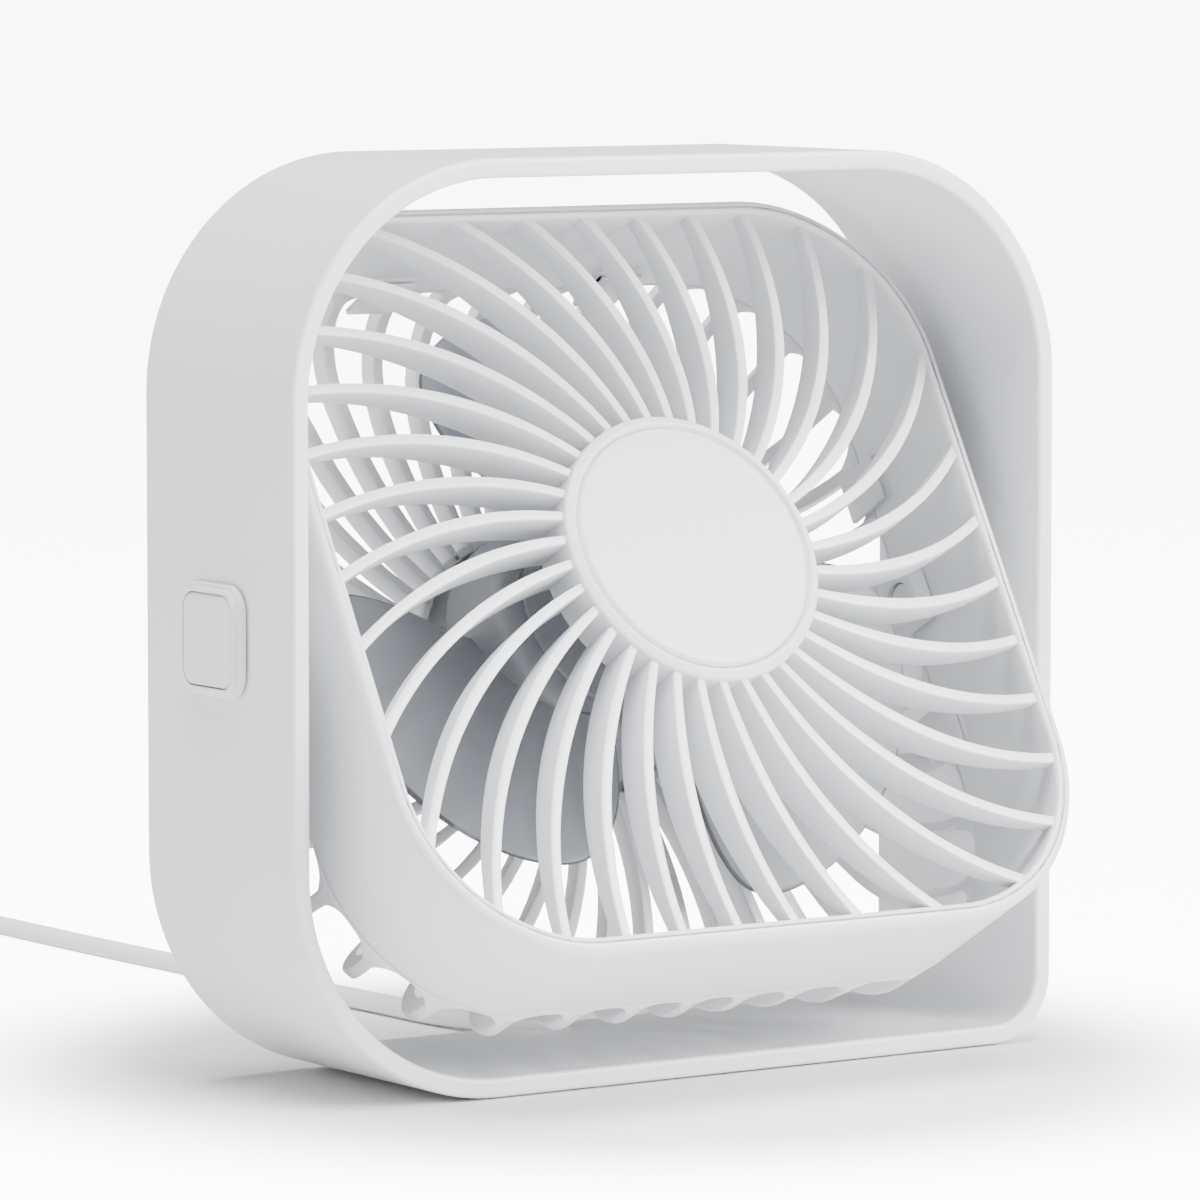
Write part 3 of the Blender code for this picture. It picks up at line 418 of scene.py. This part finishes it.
def make_stand():
    """The ring: its wall section, with softly rounded edges, is carried round the stand's outline."""
    half = STAND_HALF_DEPTH
    section = rounded(
        [(0, -half), (0, half), (-STAND_WALL, half), (-STAND_WALL, -half)],
        [0.7 * MM, 0.7 * MM, 0.55 * MM, 0.7 * MM],
    )
    path, normals = square_path(
        -STAND_HALF, STAND_HALF, STAND_BASE, STAND_TOP, [WIDE_R, TIGHT_R, WIDE_R, WIDE_R], TURN_STEPS
    )
    grid = carried(section, path, normals)[..., [0, 2, 1]]
    ring = add_piece("stand_ring", [loop_piece(grid)], "stand", WHITE, ["frame_ring"])
    switch_pocket = block_piece((-STAND_HALF, 0, SWITCH_Z), (5 * MM, 7.6 * MM, 7.25 * MM), 0.8 * MM)
    lead_hole = block_piece((0, 23 * MM, 2 * MM), (4.5 * MM, 7 * MM, 5 * MM), 0.3 * MM)
    cut(ring, [switch_pocket, lead_hole])


def make_switch():
    """The bezel, a stepped frame carried round the button, and the crowned button."""
    base = STAND_HALF + GAP
    step = base + 0.9 * MM
    face = STAND_HALF + 2.2 * MM
    width = 1.45 * MM
    half = 8.75 * MM
    section = rounded(
        [
            (0, base),
            (0, step),
            (-0.7 * MM, step + 0.15 * MM),
            (-0.8 * MM, face),
            (-width, face),
            (-width, base),
        ],
        [0.2 * MM, 0.3 * MM, 0.12 * MM, 0.15 * MM, 0.18 * MM, 0.1 * MM],
        3,
        0.05 * MM,
    )
    path, normals = square_path(-half, half, SWITCH_Z - half, SWITCH_Z + half, [4.2 * MM] * 4, 12)
    grid = carried(section, path, normals)
    grid = row_of(-grid[..., 2], grid[..., 0], grid[..., 1])
    add_piece("switch_frame", [loop_piece(grid)], "stand", WHITE, ["switch_bezel"])

    half = 7.15 * MM
    edge = 1.85 * MM
    outline, outward = square_path(-half, half, SWITCH_Z - half, SWITCH_Z + half, [2.6 * MM] * 4, 12)
    inset = np.array([0, 0, 0.06, 0.25, 0.6, 1.6, 3.5, 6.8]) * MM
    rise = np.array([0.2, 1.2, 1.55, 1.78, 1.86, 1.89, 1.9, 1.9]) * MM
    rows = outline[None] - outward[None] * np.minimum(inset, edge)[:, None, None]
    centre = np.array([0, SWITCH_Z])
    shrink = np.clip(inset - edge, 0, None)[:, None, None] / half
    rows = centre + (rows - centre) * (1 - shrink)
    cap = row_of(-(base + rise[:, None]), rows[..., 0], rows[..., 1])
    add_piece("press_button", [tube_piece(cap)], "switch_button", BUTTON, ["power_button"])


# ---------------------------------------------------------------- head


def twist(radius):
    """How far a rib has swept round at a radius: a linear and a square term from the hub."""
    out = radius - HUB_R
    return TWIST_LINEAR * out + TWIST_SQUARE * out**2


def rear_twist(radius):
    """A rear rib's sweep: the front's law out to a radius, then a slope that falls evenly to none."""
    slope = TWIST_LINEAR + 2 * TWIST_SQUARE * (TWIST_EASE - HUB_R)
    out = np.clip(radius - TWIST_EASE, 0, TWIST_EASE_LENGTH)
    eased_out = out - out**2 / (2 * TWIST_EASE_LENGTH)
    return twist(np.minimum(radius, TWIST_EASE)) + slope * eased_out


def inset_from(points, half, corner):
    """How far points lie inside a round-cornered square: its signed distance turned round."""
    over = np.abs(points) - (half - corner)
    outer = np.linalg.norm(np.maximum(over, 0), axis=-1)
    inner = np.minimum(np.max(over, axis=-1), 0)
    return corner - outer - inner


def rib_line(start, sweep, samples=200):
    """A rib's plan line from the hub outwards: radius, points, and how far each lies inside the outline."""
    radius = np.linspace(18 * MM, 82 * MM, samples)
    angle = start + sweep(radius)
    points = row_of(radius * np.cos(angle), radius * np.sin(angle))
    return radius, points, inset_from(points, HEAD_HALF, HEAD_R)


def rib_solid(line, outer, inner, width):
    """A rib: a sheet between an outer and an inner edge line, given width with rounded edges.

    outer and inner are rows of (radius, depth) along the rib. Each cross-section runs from the outer
    edge to the inner one, and its half width follows a rounded bar's outline: near holds the first
    places along it, in depth, and bulge the share of the half width at each place.
    """
    radius, points, _ = line
    tall = np.linalg.norm(outer - inner, axis=1)[:, None]
    near = np.array([0, 0.1, 0.32, 0.7]) * MM / tall
    share = np.concatenate([near, np.broadcast_to([0.5], tall.shape), 1 - near[:, ::-1]], axis=1)
    bulge = np.array([0.55, 0.86, 0.98, 1, 1, 0.98, 0.95, 0.84, 0.5])
    share = np.concatenate([share, share[:, ::-1]], axis=1)
    side = np.concatenate([bulge, -bulge[::-1]])
    r = outer[:, None, 0] * (1 - share) + inner[:, None, 0] * share
    depth = outer[:, None, 1] * (1 - share) + inner[:, None, 1] * share
    x = np.interp(r, radius, points[:, 0])
    y = np.interp(r, radius, points[:, 1])
    ahead = r + 0.5 * MM
    dx = np.interp(ahead, radius, points[:, 0]) - x
    dy = np.interp(ahead, radius, points[:, 1]) - y
    size = np.hypot(dx, dy)
    half = width[:, None] / 2 * side
    return row_of(x - dy / size * half, y + dx / size * half, depth)


def front_rib(index):
    """A front rib, deep at the hub and shallow at the rim, its front edge falling by the 1.5th power."""
    line = rib_line(FRONT_RIB_PHASE + 2 * math.pi * index / FRONT_RIBS, twist)
    begin = HUB_R - 1 * MM
    end = np.interp(-1.2 * MM, -line[2], line[0])
    share = np.linspace(0, 1, 22)
    radius = begin + (end - begin) * share
    fall = np.clip((radius - HUB_R) / (end - HUB_R), 0, 1) ** 1.5
    front = RIB_FRONT + (RIM_FRONT - RIB_FRONT) * fall
    back = RIB_BACK - 0.2 * MM * np.sin(math.pi * share)
    width = (1.5 + 0.45 * np.sin(math.pi * np.clip(share * 1.1, 0, 0.8))) * MM
    outer = row_of(radius, front)
    inner = row_of(radius, np.full_like(radius, back))
    return tube_piece(head_place(rib_solid(line, outer, inner, width)))


def wall_ring(low, high, low_radii, high_radii):
    """A length of the head's wall: its section carried round the head's outline."""
    section = rounded(
        [(0, low), (0, high), (-HEAD_WALL, high), (-HEAD_WALL, low)],
        [low_radii[0], high_radii[0], high_radii[1], low_radii[1]],
    )
    path, normals = square_path(-HEAD_HALF, HEAD_HALF, -HEAD_HALF, HEAD_HALF, [HEAD_R] * 4, TURN_STEPS)
    return loop_piece(head_place(carried(section, path, normals)))


def quarter_turn(points, number):
    """Head points turned by a number of quarter turns about the air's direction."""
    cos, sin = ((1, 0), (0, 1), (-1, 0), (0, -1))[number]
    x, y = points[..., 0], points[..., 1]
    return row_of(x * cos - y * sin, x * sin + y * cos, points[..., 2])


def make_front_shell():
    """The front half: wall with a rounded rim, 35 swept ribs, the hub ring, and the snap tabs inside."""
    parts = [wall_ring(SEAM, HEAD_DEPTH, (0.25 * MM, 0.25 * MM), (1.5 * MM, 0.9 * MM))]
    parts += [front_rib(index) for index in range(FRONT_RIBS)]
    inside = HUB_R - 1.6 * MM
    ring = rounded(
        [
            (HUB_RIM_R, HUB_FRONT - 0.8 * MM),
            (HUB_RIM_R, RIB_BACK),
            (inside, RIB_BACK),
            (inside, HUB_FRONT - 0.9 * MM),
            (inside + 0.6 * MM, HUB_FRONT),
        ],
        [0.7 * MM, 0.3 * MM, 0.3 * MM, 0.05 * MM, 0.3 * MM],
        5,
        0.1 * MM,
    )
    parts.append(placed(turned_piece(ring), head_place))
    floor = 22.6 * MM
    plate_r = inside + 0.5 * MM
    plate = [(0, floor + 1.5 * MM), (plate_r, floor + 1.5 * MM), (plate_r, floor), (0, floor)]
    parts.append(placed(turned_piece(plate), head_place))
    reach = HEAD_HALF - HEAD_WALL
    for number in range(4):
        for across in (-22 * MM, 22 * MM):
            tab = block((reach - 0.85 * MM, across, SEAM), (0.55 * MM, 4 * MM, 5 * MM), 0.3 * MM, 3)
            root = block((reach - 0.4 * MM, across, SEAM + 3 * MM), (0.9 * MM, 4 * MM, 2 * MM), 0.3 * MM, 3)
            for shape in (tab, root):
                shape = head_place(quarter_turn(shape, number))
                parts.append(tube_piece(np.swapaxes(shape, 0, 1)))
    add_piece("front_grille", parts, "head", WHITE, ["front_shell"])

    cap_r = inside - 0.06 * MM
    top = HUB_FRONT - 0.05 * MM
    crown = 0.15 * MM
    cap = [(0, top + crown)]
    cap += [(cap_r * s, top + crown * (1 - s**2)) for s in (0.2, 0.4, 0.6, 0.8, 0.9)]
    cap += [(cap_r - 1 * MM, top), (cap_r - 0.6 * MM, top - 0.06 * MM), (cap_r - 0.3 * MM, top - 0.3 * MM)]
    cap += [(cap_r, top - 0.85 * MM), (cap_r, HUB_CAP_BACK), (0, HUB_CAP_BACK)]
    disc = placed(turned_piece(cap), head_place)
    add_piece("hub_disc", [disc], "head", WHITE, ["hub_cap"])


def rear_rib(index):
    """A rear rib: it starts on the side wall, rounds the edge and runs in to the hub plate."""
    pitch = 2 * math.pi / REAR_RIBS
    line = rib_line(REAR_SLOT_PHASE + (index + 0.5) * pitch, lambda r: -rear_twist(r))
    radius, _, inset = line
    arc = np.linspace(0, math.pi / 2, 12)
    start = SLOT_FRONT + 0.6 * MM
    stop = REAR_HUB_R - 1 * MM
    run = np.linspace(0, 1, 10)[1:]

    def edge_line(edge_r, first_inset, back):
        """Straight along the wall, round the back edge, then in to the hub, as (radius, depth)."""
        along = np.interp(-(first_inset + edge_r * (1 - np.cos(arc))), -inset, radius)
        return np.concatenate([
            [[along[0], start]],
            row_of(along, back + edge_r - edge_r * np.sin(arc)),
            row_of(along[-1] + (stop - along[-1]) * run, np.full(len(run), back)),
        ])

    outer = edge_line(REAR_EDGE_R, 0.02 * MM, -HEAD_DEPTH)
    inner = edge_line(REAR_EDGE_R - HEAD_WALL, HEAD_WALL, -HEAD_DEPTH + REAR_RIB_DEPTH)
    width = (1.6 + 0.6 * np.clip((outer[:, 0] - 24 * MM) / (40 * MM), 0, 1)) * MM
    return tube_piece(head_place(rib_solid(line, outer, inner, width)))


def rear_rim():
    """The rear half's solid rim: its rear edge arches between the ribs.

    The rim's outline is found along each rib's sweep by halving, so its points follow the ribs.
    """
    count = REAR_RIBS * 14
    share = np.arange(count) / count
    from_slot = np.abs((share * REAR_RIBS + 0.5) % 1 - 0.5) * 2
    start = REAR_SLOT_PHASE + 2 * math.pi * share
    low = np.full(count, HEAD_HALF - 2 * MM)
    high = np.full(count, 90 * MM)
    for _ in range(40):
        middle = (low + high) / 2
        angle = start - rear_twist(middle)
        points = row_of(middle * np.cos(angle), middle * np.sin(angle))
        inside = inset_from(points, HEAD_HALF, HEAD_R) > 0
        low = np.where(inside, middle, low)
        high = np.where(inside, high, middle)
    angle = start - rear_twist(low)
    path = row_of(low * np.cos(angle), low * np.sin(angle))
    flat = HEAD_HALF - HEAD_R
    over = np.sign(path) * np.maximum(np.abs(path) - flat, 0)
    normal = over / np.linalg.norm(over, axis=1)[:, None]
    edge = SLOT_FRONT + 0.9 * MM - 5.2 * MM * from_slot**3
    top = SEAM - GAP
    across = np.array([0, 0, 0.12, 0.3, 2.4, 2.58, 2.7, 2.7, 2.58, 2.4, 0.3, 0.12]) * MM
    below = np.array([0.3, 0.3, 0.12, 0, 0, 0.12, 0.3, 0.3, 0.12, 0, 0, 0.12]) * MM
    at_top = np.array([1, 0, 0, 0, 0, 0, 0, 1, 1, 1, 1, 1])
    depth = np.where(at_top, top - below, edge[:, None] + below)
    plan = path[:, None, :] - normal[:, None, :] * across[None, :, None]
    return loop_piece(head_place(np.concatenate([plan, depth[..., None]], axis=2)))


def make_rear_shell():
    """The rear half: rim, 40 ribs that round the back edge, the motor's plate, its tube and three posts."""
    parts = [rear_rim()]
    parts += [rear_rib(index) for index in range(REAR_RIBS)]
    back = -HEAD_DEPTH
    inner = back + REAR_RIB_DEPTH
    steps = 5
    outer_corners = 4 * (steps + 3)
    lip = rounded(
        [
            (REAR_HUB_R - 1 * MM, back + 2 * MM),
            (REAR_HUB_R - 1 * MM, inner),
            (REAR_HUB_R + 0.6 * MM, inner),
            (REAR_HUB_R + 0.6 * MM, back),
            (4.5 * MM, back),
            (4.5 * MM, back + 2 * MM),
        ],
        [0.3 * MM, 0.3 * MM, 0.4 * MM, 0.8 * MM, 0.1 * MM, 0.1 * MM],
        steps,
        0.1 * MM,
    )
    plate = [(0, back + 2 * MM), *lip[:outer_corners], (0, back)]
    parts.append(placed(turned_piece(plate), head_place))
    tube = rounded(
        [(4.2 * MM, -3 * MM), (4.2 * MM, back + 1.5 * MM), (3 * MM, back + 1.5 * MM), (3 * MM, -3 * MM)],
        [0.2 * MM, 0.1 * MM, 0.1 * MM, 0.2 * MM],
        3,
        0.05 * MM,
    )
    parts.append(placed(turned_piece(tube, 48), head_place))
    for number in range(3):
        angle = 2 * math.pi * (number + 0.25) / 3
        shift = np.array([POST_CIRCLE_R * math.cos(angle), POST_CIRCLE_R * math.sin(angle), 0])
        foot, top = back + 1.5 * MM, -18 * MM
        post = rounded(
            [(2.2 * MM, top), (2.2 * MM, foot), (0.9 * MM, foot), (0.9 * MM, top)],
            [0.2 * MM, 0.1 * MM, 0.1 * MM, 0.2 * MM],
            3,
            0.05 * MM,
        )
        points, faces = turned_piece(post, 32)
        parts.append((head_place(points + shift), faces))
    add_piece("rear_grille", parts, "head", WHITE, ["rear_shell"])


def blade_chord(out):
    """The share of its full chord a blade has at a share of its length: all of it up to the round tip."""
    closing = np.clip((out - BLADE_TIP_START) / BLADE_TIP_LENGTH, 0, 1)
    return np.maximum(1 - closing**4, 0.0004) ** 0.42


def blade_half_angle(out):
    """Half the angle a blade covers at a share of its length."""
    return BLADE_HALF_SPAN * (0.82 + 0.18 * np.sin(math.pi * out)) * blade_chord(out)


def blade(index):
    """A blade: height rises with the angle across the chord, and the tip's corners are round.

    Its cross-sections run along the front face and back along the rear one. The last part
    before each edge is a band of its own.
    """
    tip = np.sin(np.linspace(0, math.pi / 2, 18)[1:])
    out = np.concatenate([np.linspace(0, BLADE_TIP_START, 10), BLADE_TIP_START + BLADE_TIP_LENGTH * tip])
    chord = blade_chord(out)
    radius = BLADE_ROOT_R + (WHEEL_TIP_R - WHEEL_HUB_R + 1 * MM) * out
    span = blade_half_angle(out)
    middle = BLADE_PHASE + BLADE_RAKE * out + 2 * math.pi * index / BLADES
    s = np.concatenate([[-1, -0.996, -0.983, -0.96], np.linspace(-0.9, 0.9, 21), [0.96, 0.983, 0.996, 1]])
    lean = np.maximum(1 - np.abs(s) ** 30, 0) ** 0.5 * BLADE_THICK / 2
    s = np.concatenate([s, s[::-1][1:-1]])
    lean = np.concatenate([lean, -lean[::-1][1:-1]])
    angle = middle[:, None] + s * span[:, None]
    height = BLADE_MIDDLE + BLADE_HALF_HEIGHT * s * chord[:, None] + lean
    return row_of(radius[:, None] * np.cos(angle), radius[:, None] * np.sin(angle), height)


def make_wheel():
    """The fan wheel: a hub cup with a soft front edge, and three broad pitched blades."""
    inside = WHEEL_HUB_R - 2.1 * MM
    cup = [
        (0, WHEEL_FRONT),
        (WHEEL_HUB_R - 5.2 * MM, WHEEL_FRONT),
        (WHEEL_HUB_R - 4.9 * MM, WHEEL_FRONT - 0.4 * MM),
        (WHEEL_HUB_R - 4.3 * MM, WHEEL_FRONT - 0.4 * MM),
        (WHEEL_HUB_R - 4 * MM, WHEEL_FRONT),
    ]
    arc = np.linspace(0, math.pi / 2, 8)
    edge = 2.6 * MM
    corner_r, corner_z = WHEEL_HUB_R - edge, WHEEL_FRONT - edge
    cup += [(corner_r + edge * math.sin(a), corner_z + edge * math.cos(a)) for a in arc]
    cup += [
        (WHEEL_HUB_R, WHEEL_FRONT - 3.2 * MM),
        (WHEEL_HUB_R, WHEEL_BACK + 0.3 * MM),
        (WHEEL_HUB_R - 0.3 * MM, WHEEL_BACK),
        (inside + 0.2 * MM, WHEEL_BACK),
        (inside, WHEEL_BACK + 0.2 * MM),
        (inside, WHEEL_FRONT - 2.5 * MM),
        (inside - 0.5 * MM, WHEEL_FRONT - 2 * MM),
        (0, WHEEL_FRONT - 2 * MM),
    ]
    parts = [placed(turned_piece(cup), head_place)]
    parts += [tube_piece(head_place(blade(index))) for index in range(BLADES)]
    wheel = add_piece("fan_blades", parts, "fan_wheel", BLADE, ["impeller"])
    # Paints shade as a dark band round the blade edges.
    paint_edge_shade(wheel)


def paint_edge_shade(wheel):
    """Paints shade on the faces in the half millimetre round each blade's outline: a dark band for the
    shaded edge.
    """
    wheel.data.materials.append(EDGE_SHADE)
    mesh = wheel.data
    centres = np.empty(len(mesh.polygons) * 3)
    mesh.polygons.foreach_get("center", centres)
    offset = centres.reshape(-1, 3) - PIVOT
    across, up, out = offset @ X_AXIS, offset @ HEAD_UP, offset @ HEAD_OUT
    radius = np.hypot(across, up)
    share = (radius - WHEEL_HUB_R + 1 * MM) / (WHEEL_TIP_R - WHEEL_HUB_R + 1 * MM)
    half = blade_half_angle(share)
    pitch = 2 * math.pi / BLADES
    turn = np.arctan2(up, across) - BLADE_PHASE - BLADE_RAKE * share
    from_middle = np.abs((turn + pitch / 2) % pitch - pitch / 2)
    # The mask of the painted shade band: faces near each blade's sides and round its tip.
    near = (half - from_middle) * radius < 0.5 * MM
    tip = WHEEL_TIP_R - radius < 0.45 * MM
    edge = (radius > WHEEL_HUB_R + 0.6 * MM) & (near | tip)
    mesh.polygons.foreach_set("material_index", edge.astype(np.int32))


# ---------------------------------------------------------------- lead


def through(knots, count):
    """Evenly spread points on the Catmull-Rom curve through the knots."""
    knots = np.array(knots, float)
    full = np.concatenate([[2 * knots[0] - knots[1]], knots, [2 * knots[-1] - knots[-2]]])
    u = np.linspace(0, len(knots) - 1, count)
    span = np.minimum(u.astype(int), len(knots) - 2)
    t = (u - span)[:, None]
    a, b, c, d = full[span], full[span + 1], full[span + 2], full[span + 3]
    return (2 * b + (c - a) * t + (2 * a - 5 * b + 4 * c - d) * t**2 + (3 * b - a - 3 * c + d) * t**3) / 2


def eased(angle, start, stop):
    """A smooth step from 0 to 1 between two angles."""
    s = np.clip((angle - start) / (stop - start), 0, 1)
    return s * s * (3 - 2 * s)


def coil_points():
    """Five and a half turns: out to in on the lower layer, then up and back out on the upper one."""
    turn = np.arange(1, 199) * 10.0
    outer = COIL_MID_R + COIL_PITCH
    radius = outer - COIL_PITCH * (eased(turn, 300, 360) + eased(turn, 660, 720))
    radius += COIL_PITCH * (eased(turn, 1260, 1320) + eased(turn, 1620, 1680))
    height = COIL_LOW + COIL_PITCH * eased(turn, 960, 1020)
    angle = np.radians(turn)
    return row_of(COIL_X + radius * np.cos(angle), COIL_Y + radius * np.sin(angle), height)


def make_cord():
    """The lead: out of its gland, along the table, round its coil and back to the plug."""
    enter = COIL_X + COIL_MID_R + COIL_PITCH
    leave = COIL_X - COIL_MID_R - COIL_PITCH
    rest = CORD_REST
    run = through(
        [
            (0, 31 * MM, 2.7 * MM),
            (-0.9 * MM, 40 * MM, 2.1 * MM),
            (-2 * MM, 50 * MM, rest),
            (-2.3 * MM, 63 * MM, rest),
            (-3.2 * MM, 80 * MM, rest),
            (-5.6 * MM, 110 * MM, rest),
            (-6.9 * MM, 140 * MM, rest),
            (-7.3 * MM, 168 * MM, rest),
            (enter + 0.2 * MM, 195 * MM, rest + 0.2 * MM),
            (enter, COIL_Y - 14 * MM, COIL_LOW),
            (enter, COIL_Y, COIL_LOW),
        ],
        36,
    )
    tail = through(
        [
            (leave, COIL_Y, COIL_LOW + COIL_PITCH),
            (leave, COIL_Y - 14 * MM, COIL_LOW + COIL_PITCH),
            (leave - 1.6 * MM, 204 * MM, 5 * MM),
            (-64.8 * MM, 188 * MM, 4.3 * MM),
            (-68 * MM, 165 * MM, 4.1 * MM),
        ],
        16,
    )
    points = np.concatenate([run, coil_points()[:-1], tail])
    curve = bpy.data.curves.new("usb_lead", "CURVE")
    curve.dimensions = "3D"
    curve.bevel_depth = CORD_R
    curve.bevel_resolution = 4
    curve.use_fill_caps = True
    curve.resolution_u = 3
    spline = curve.splines.new("NURBS")
    spline.points.add(len(points) - 1)
    spline.points.foreach_set("co", np.concatenate([points, np.ones((len(points), 1))], axis=1).ravel())
    spline.order_u = 4
    spline.use_endpoint_u = True
    cord = bpy.data.objects.new("usb_lead", curve)
    bpy.context.scene.collection.objects.link(cord)
    curve.materials.append(CORD)
    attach(cord, "stand")
    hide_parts("supply_cord", "cord_coil", "plug_cord")


# ---------------------------------------------------------------- carried nodes, stage and light


def finish_nodes():
    """Gives every carried CAD node its procedural finish."""
    finishes = {
        "white_plastic": WHITE,
        "button_plastic": BUTTON,
        "blade_plastic": BLADE,
        "cord_sheath": CORD,
        "grey_rubber": RUBBER,
        "dark_parts": DARK,
        "steel": STEEL,
        "copper_wire": COPPER,
        "circuit_board": BOARD,
    }
    for part in frame["record"]["subparts"]:
        node = frame["nodes"][part["node"]]
        node.data.materials.clear()
        node.data.materials.append(finishes[part["material_slot"]])


def make_floor():
    """A pale floor that glows to white away from the fan, so that it runs into a white backdrop."""
    mesh = bpy.data.meshes.new("floor")
    side = 60.0
    corners = [(-side, -side, 0), (side, -side, 0), (side, side, 0), (-side, side, 0)]
    mesh.from_pydata(corners, [], [(0, 1, 2, 3)])
    floor = bpy.data.objects.new("floor", mesh)
    bpy.context.scene.collection.objects.link(floor)
    material = bpy.data.materials.new("floor")
    material.use_nodes = True
    nodes, links = material.node_tree.nodes, material.node_tree.links
    shader = nodes["Principled BSDF"]
    shader.inputs["Base Color"].default_value = (0.9, 0.9, 0.9, 1)
    shader.inputs["Roughness"].default_value = 0.55
    place = nodes.new("ShaderNodeTexCoord")
    distance = nodes.new("ShaderNodeVectorMath")
    distance.operation = "LENGTH"
    links.new(place.outputs["Object"], distance.inputs[0])
    fade = nodes.new("ShaderNodeMapRange")
    fade.interpolation_type = "SMOOTHERSTEP"
    fade.inputs["From Min"].default_value = FLOOR_GLOW_START
    fade.inputs["From Max"].default_value = FLOOR_GLOW_FULL
    fade.inputs["To Max"].default_value = FLOOR_GLOW
    links.new(distance.outputs["Value"], fade.inputs["Value"])
    seen = nodes.new("ShaderNodeLightPath")
    glow = nodes.new("ShaderNodeMath")
    glow.operation = "MULTIPLY"
    links.new(fade.outputs["Result"], glow.inputs[0])
    links.new(seen.outputs["Is Camera Ray"], glow.inputs[1])
    shader.inputs["Emission Color"].default_value = (1, 1, 1, 1)
    links.new(glow.outputs[0], shader.inputs["Emission Strength"])
    mesh.materials.append(material)


def area_light(name, place, aim, size, power):
    """A square soft light at a place, turned towards a point."""
    light = bpy.data.lights.new(name, "AREA")
    light.size = size
    light.energy = power
    lamp = bpy.data.objects.new(name, light)
    bpy.context.scene.collection.objects.link(lamp)
    away = np.array(place, float) - np.array(aim, float)
    lamp.matrix_world = facing(place, away)


def facing(place, back):
    """A placing matrix whose third axis points back along a direction, with its first axis level."""
    back = np.array(back, float) / np.linalg.norm(back)
    right = np.cross([0, 0, 1], back)
    right = right / np.linalg.norm(right)
    up = np.cross(back, right)
    return Matrix([[right[i], up[i], back[i], place[i]] for i in range(3)] + [[0, 0, 0, 1]])


def make_light():
    """A white room with soft lights overhead and in front on the right, and a weak one at the back left."""
    world = bpy.data.worlds.new("studio")
    bpy.context.scene.world = world
    world.use_nodes = True
    background = world.node_tree.nodes["Background"]
    background.inputs["Color"].default_value = (1, 1, 1, 1)
    background.inputs["Strength"].default_value = ROOM_LIGHT
    area_light("overhead", (-0.15, -0.15, 1.3), FAN_MIDDLE, 1.0, 50)
    area_light("front", (0.9, -1.3, 0.75), FAN_MIDDLE, 0.9, 80)
    area_light("left", (-1.25, 0.8, 0.45), FAN_MIDDLE, 0.8, 10)


def make_camera():
    """A long lens, low and to the left."""
    lens = bpy.data.cameras.new("camera")
    lens.sensor_width = 36
    lens.lens = CAMERA_LENS
    lens.clip_start = 0.01
    camera = bpy.data.objects.new("camera", lens)
    bpy.context.scene.collection.objects.link(camera)
    level = math.cos(CAMERA_ELEVATION)
    back = (
        -math.sin(CAMERA_AZIMUTH) * level,
        -math.cos(CAMERA_AZIMUTH) * level,
        math.sin(CAMERA_ELEVATION),
    )
    camera.matrix_world = facing(CAMERA_PLACE, back)
    bpy.context.scene.camera = camera


finish_nodes()
make_camera()
make_cord()
make_stand()
make_switch()
make_front_shell()
make_rear_shell()
make_wheel()
make_floor()
make_light()

bpy.context.view_layer.update()
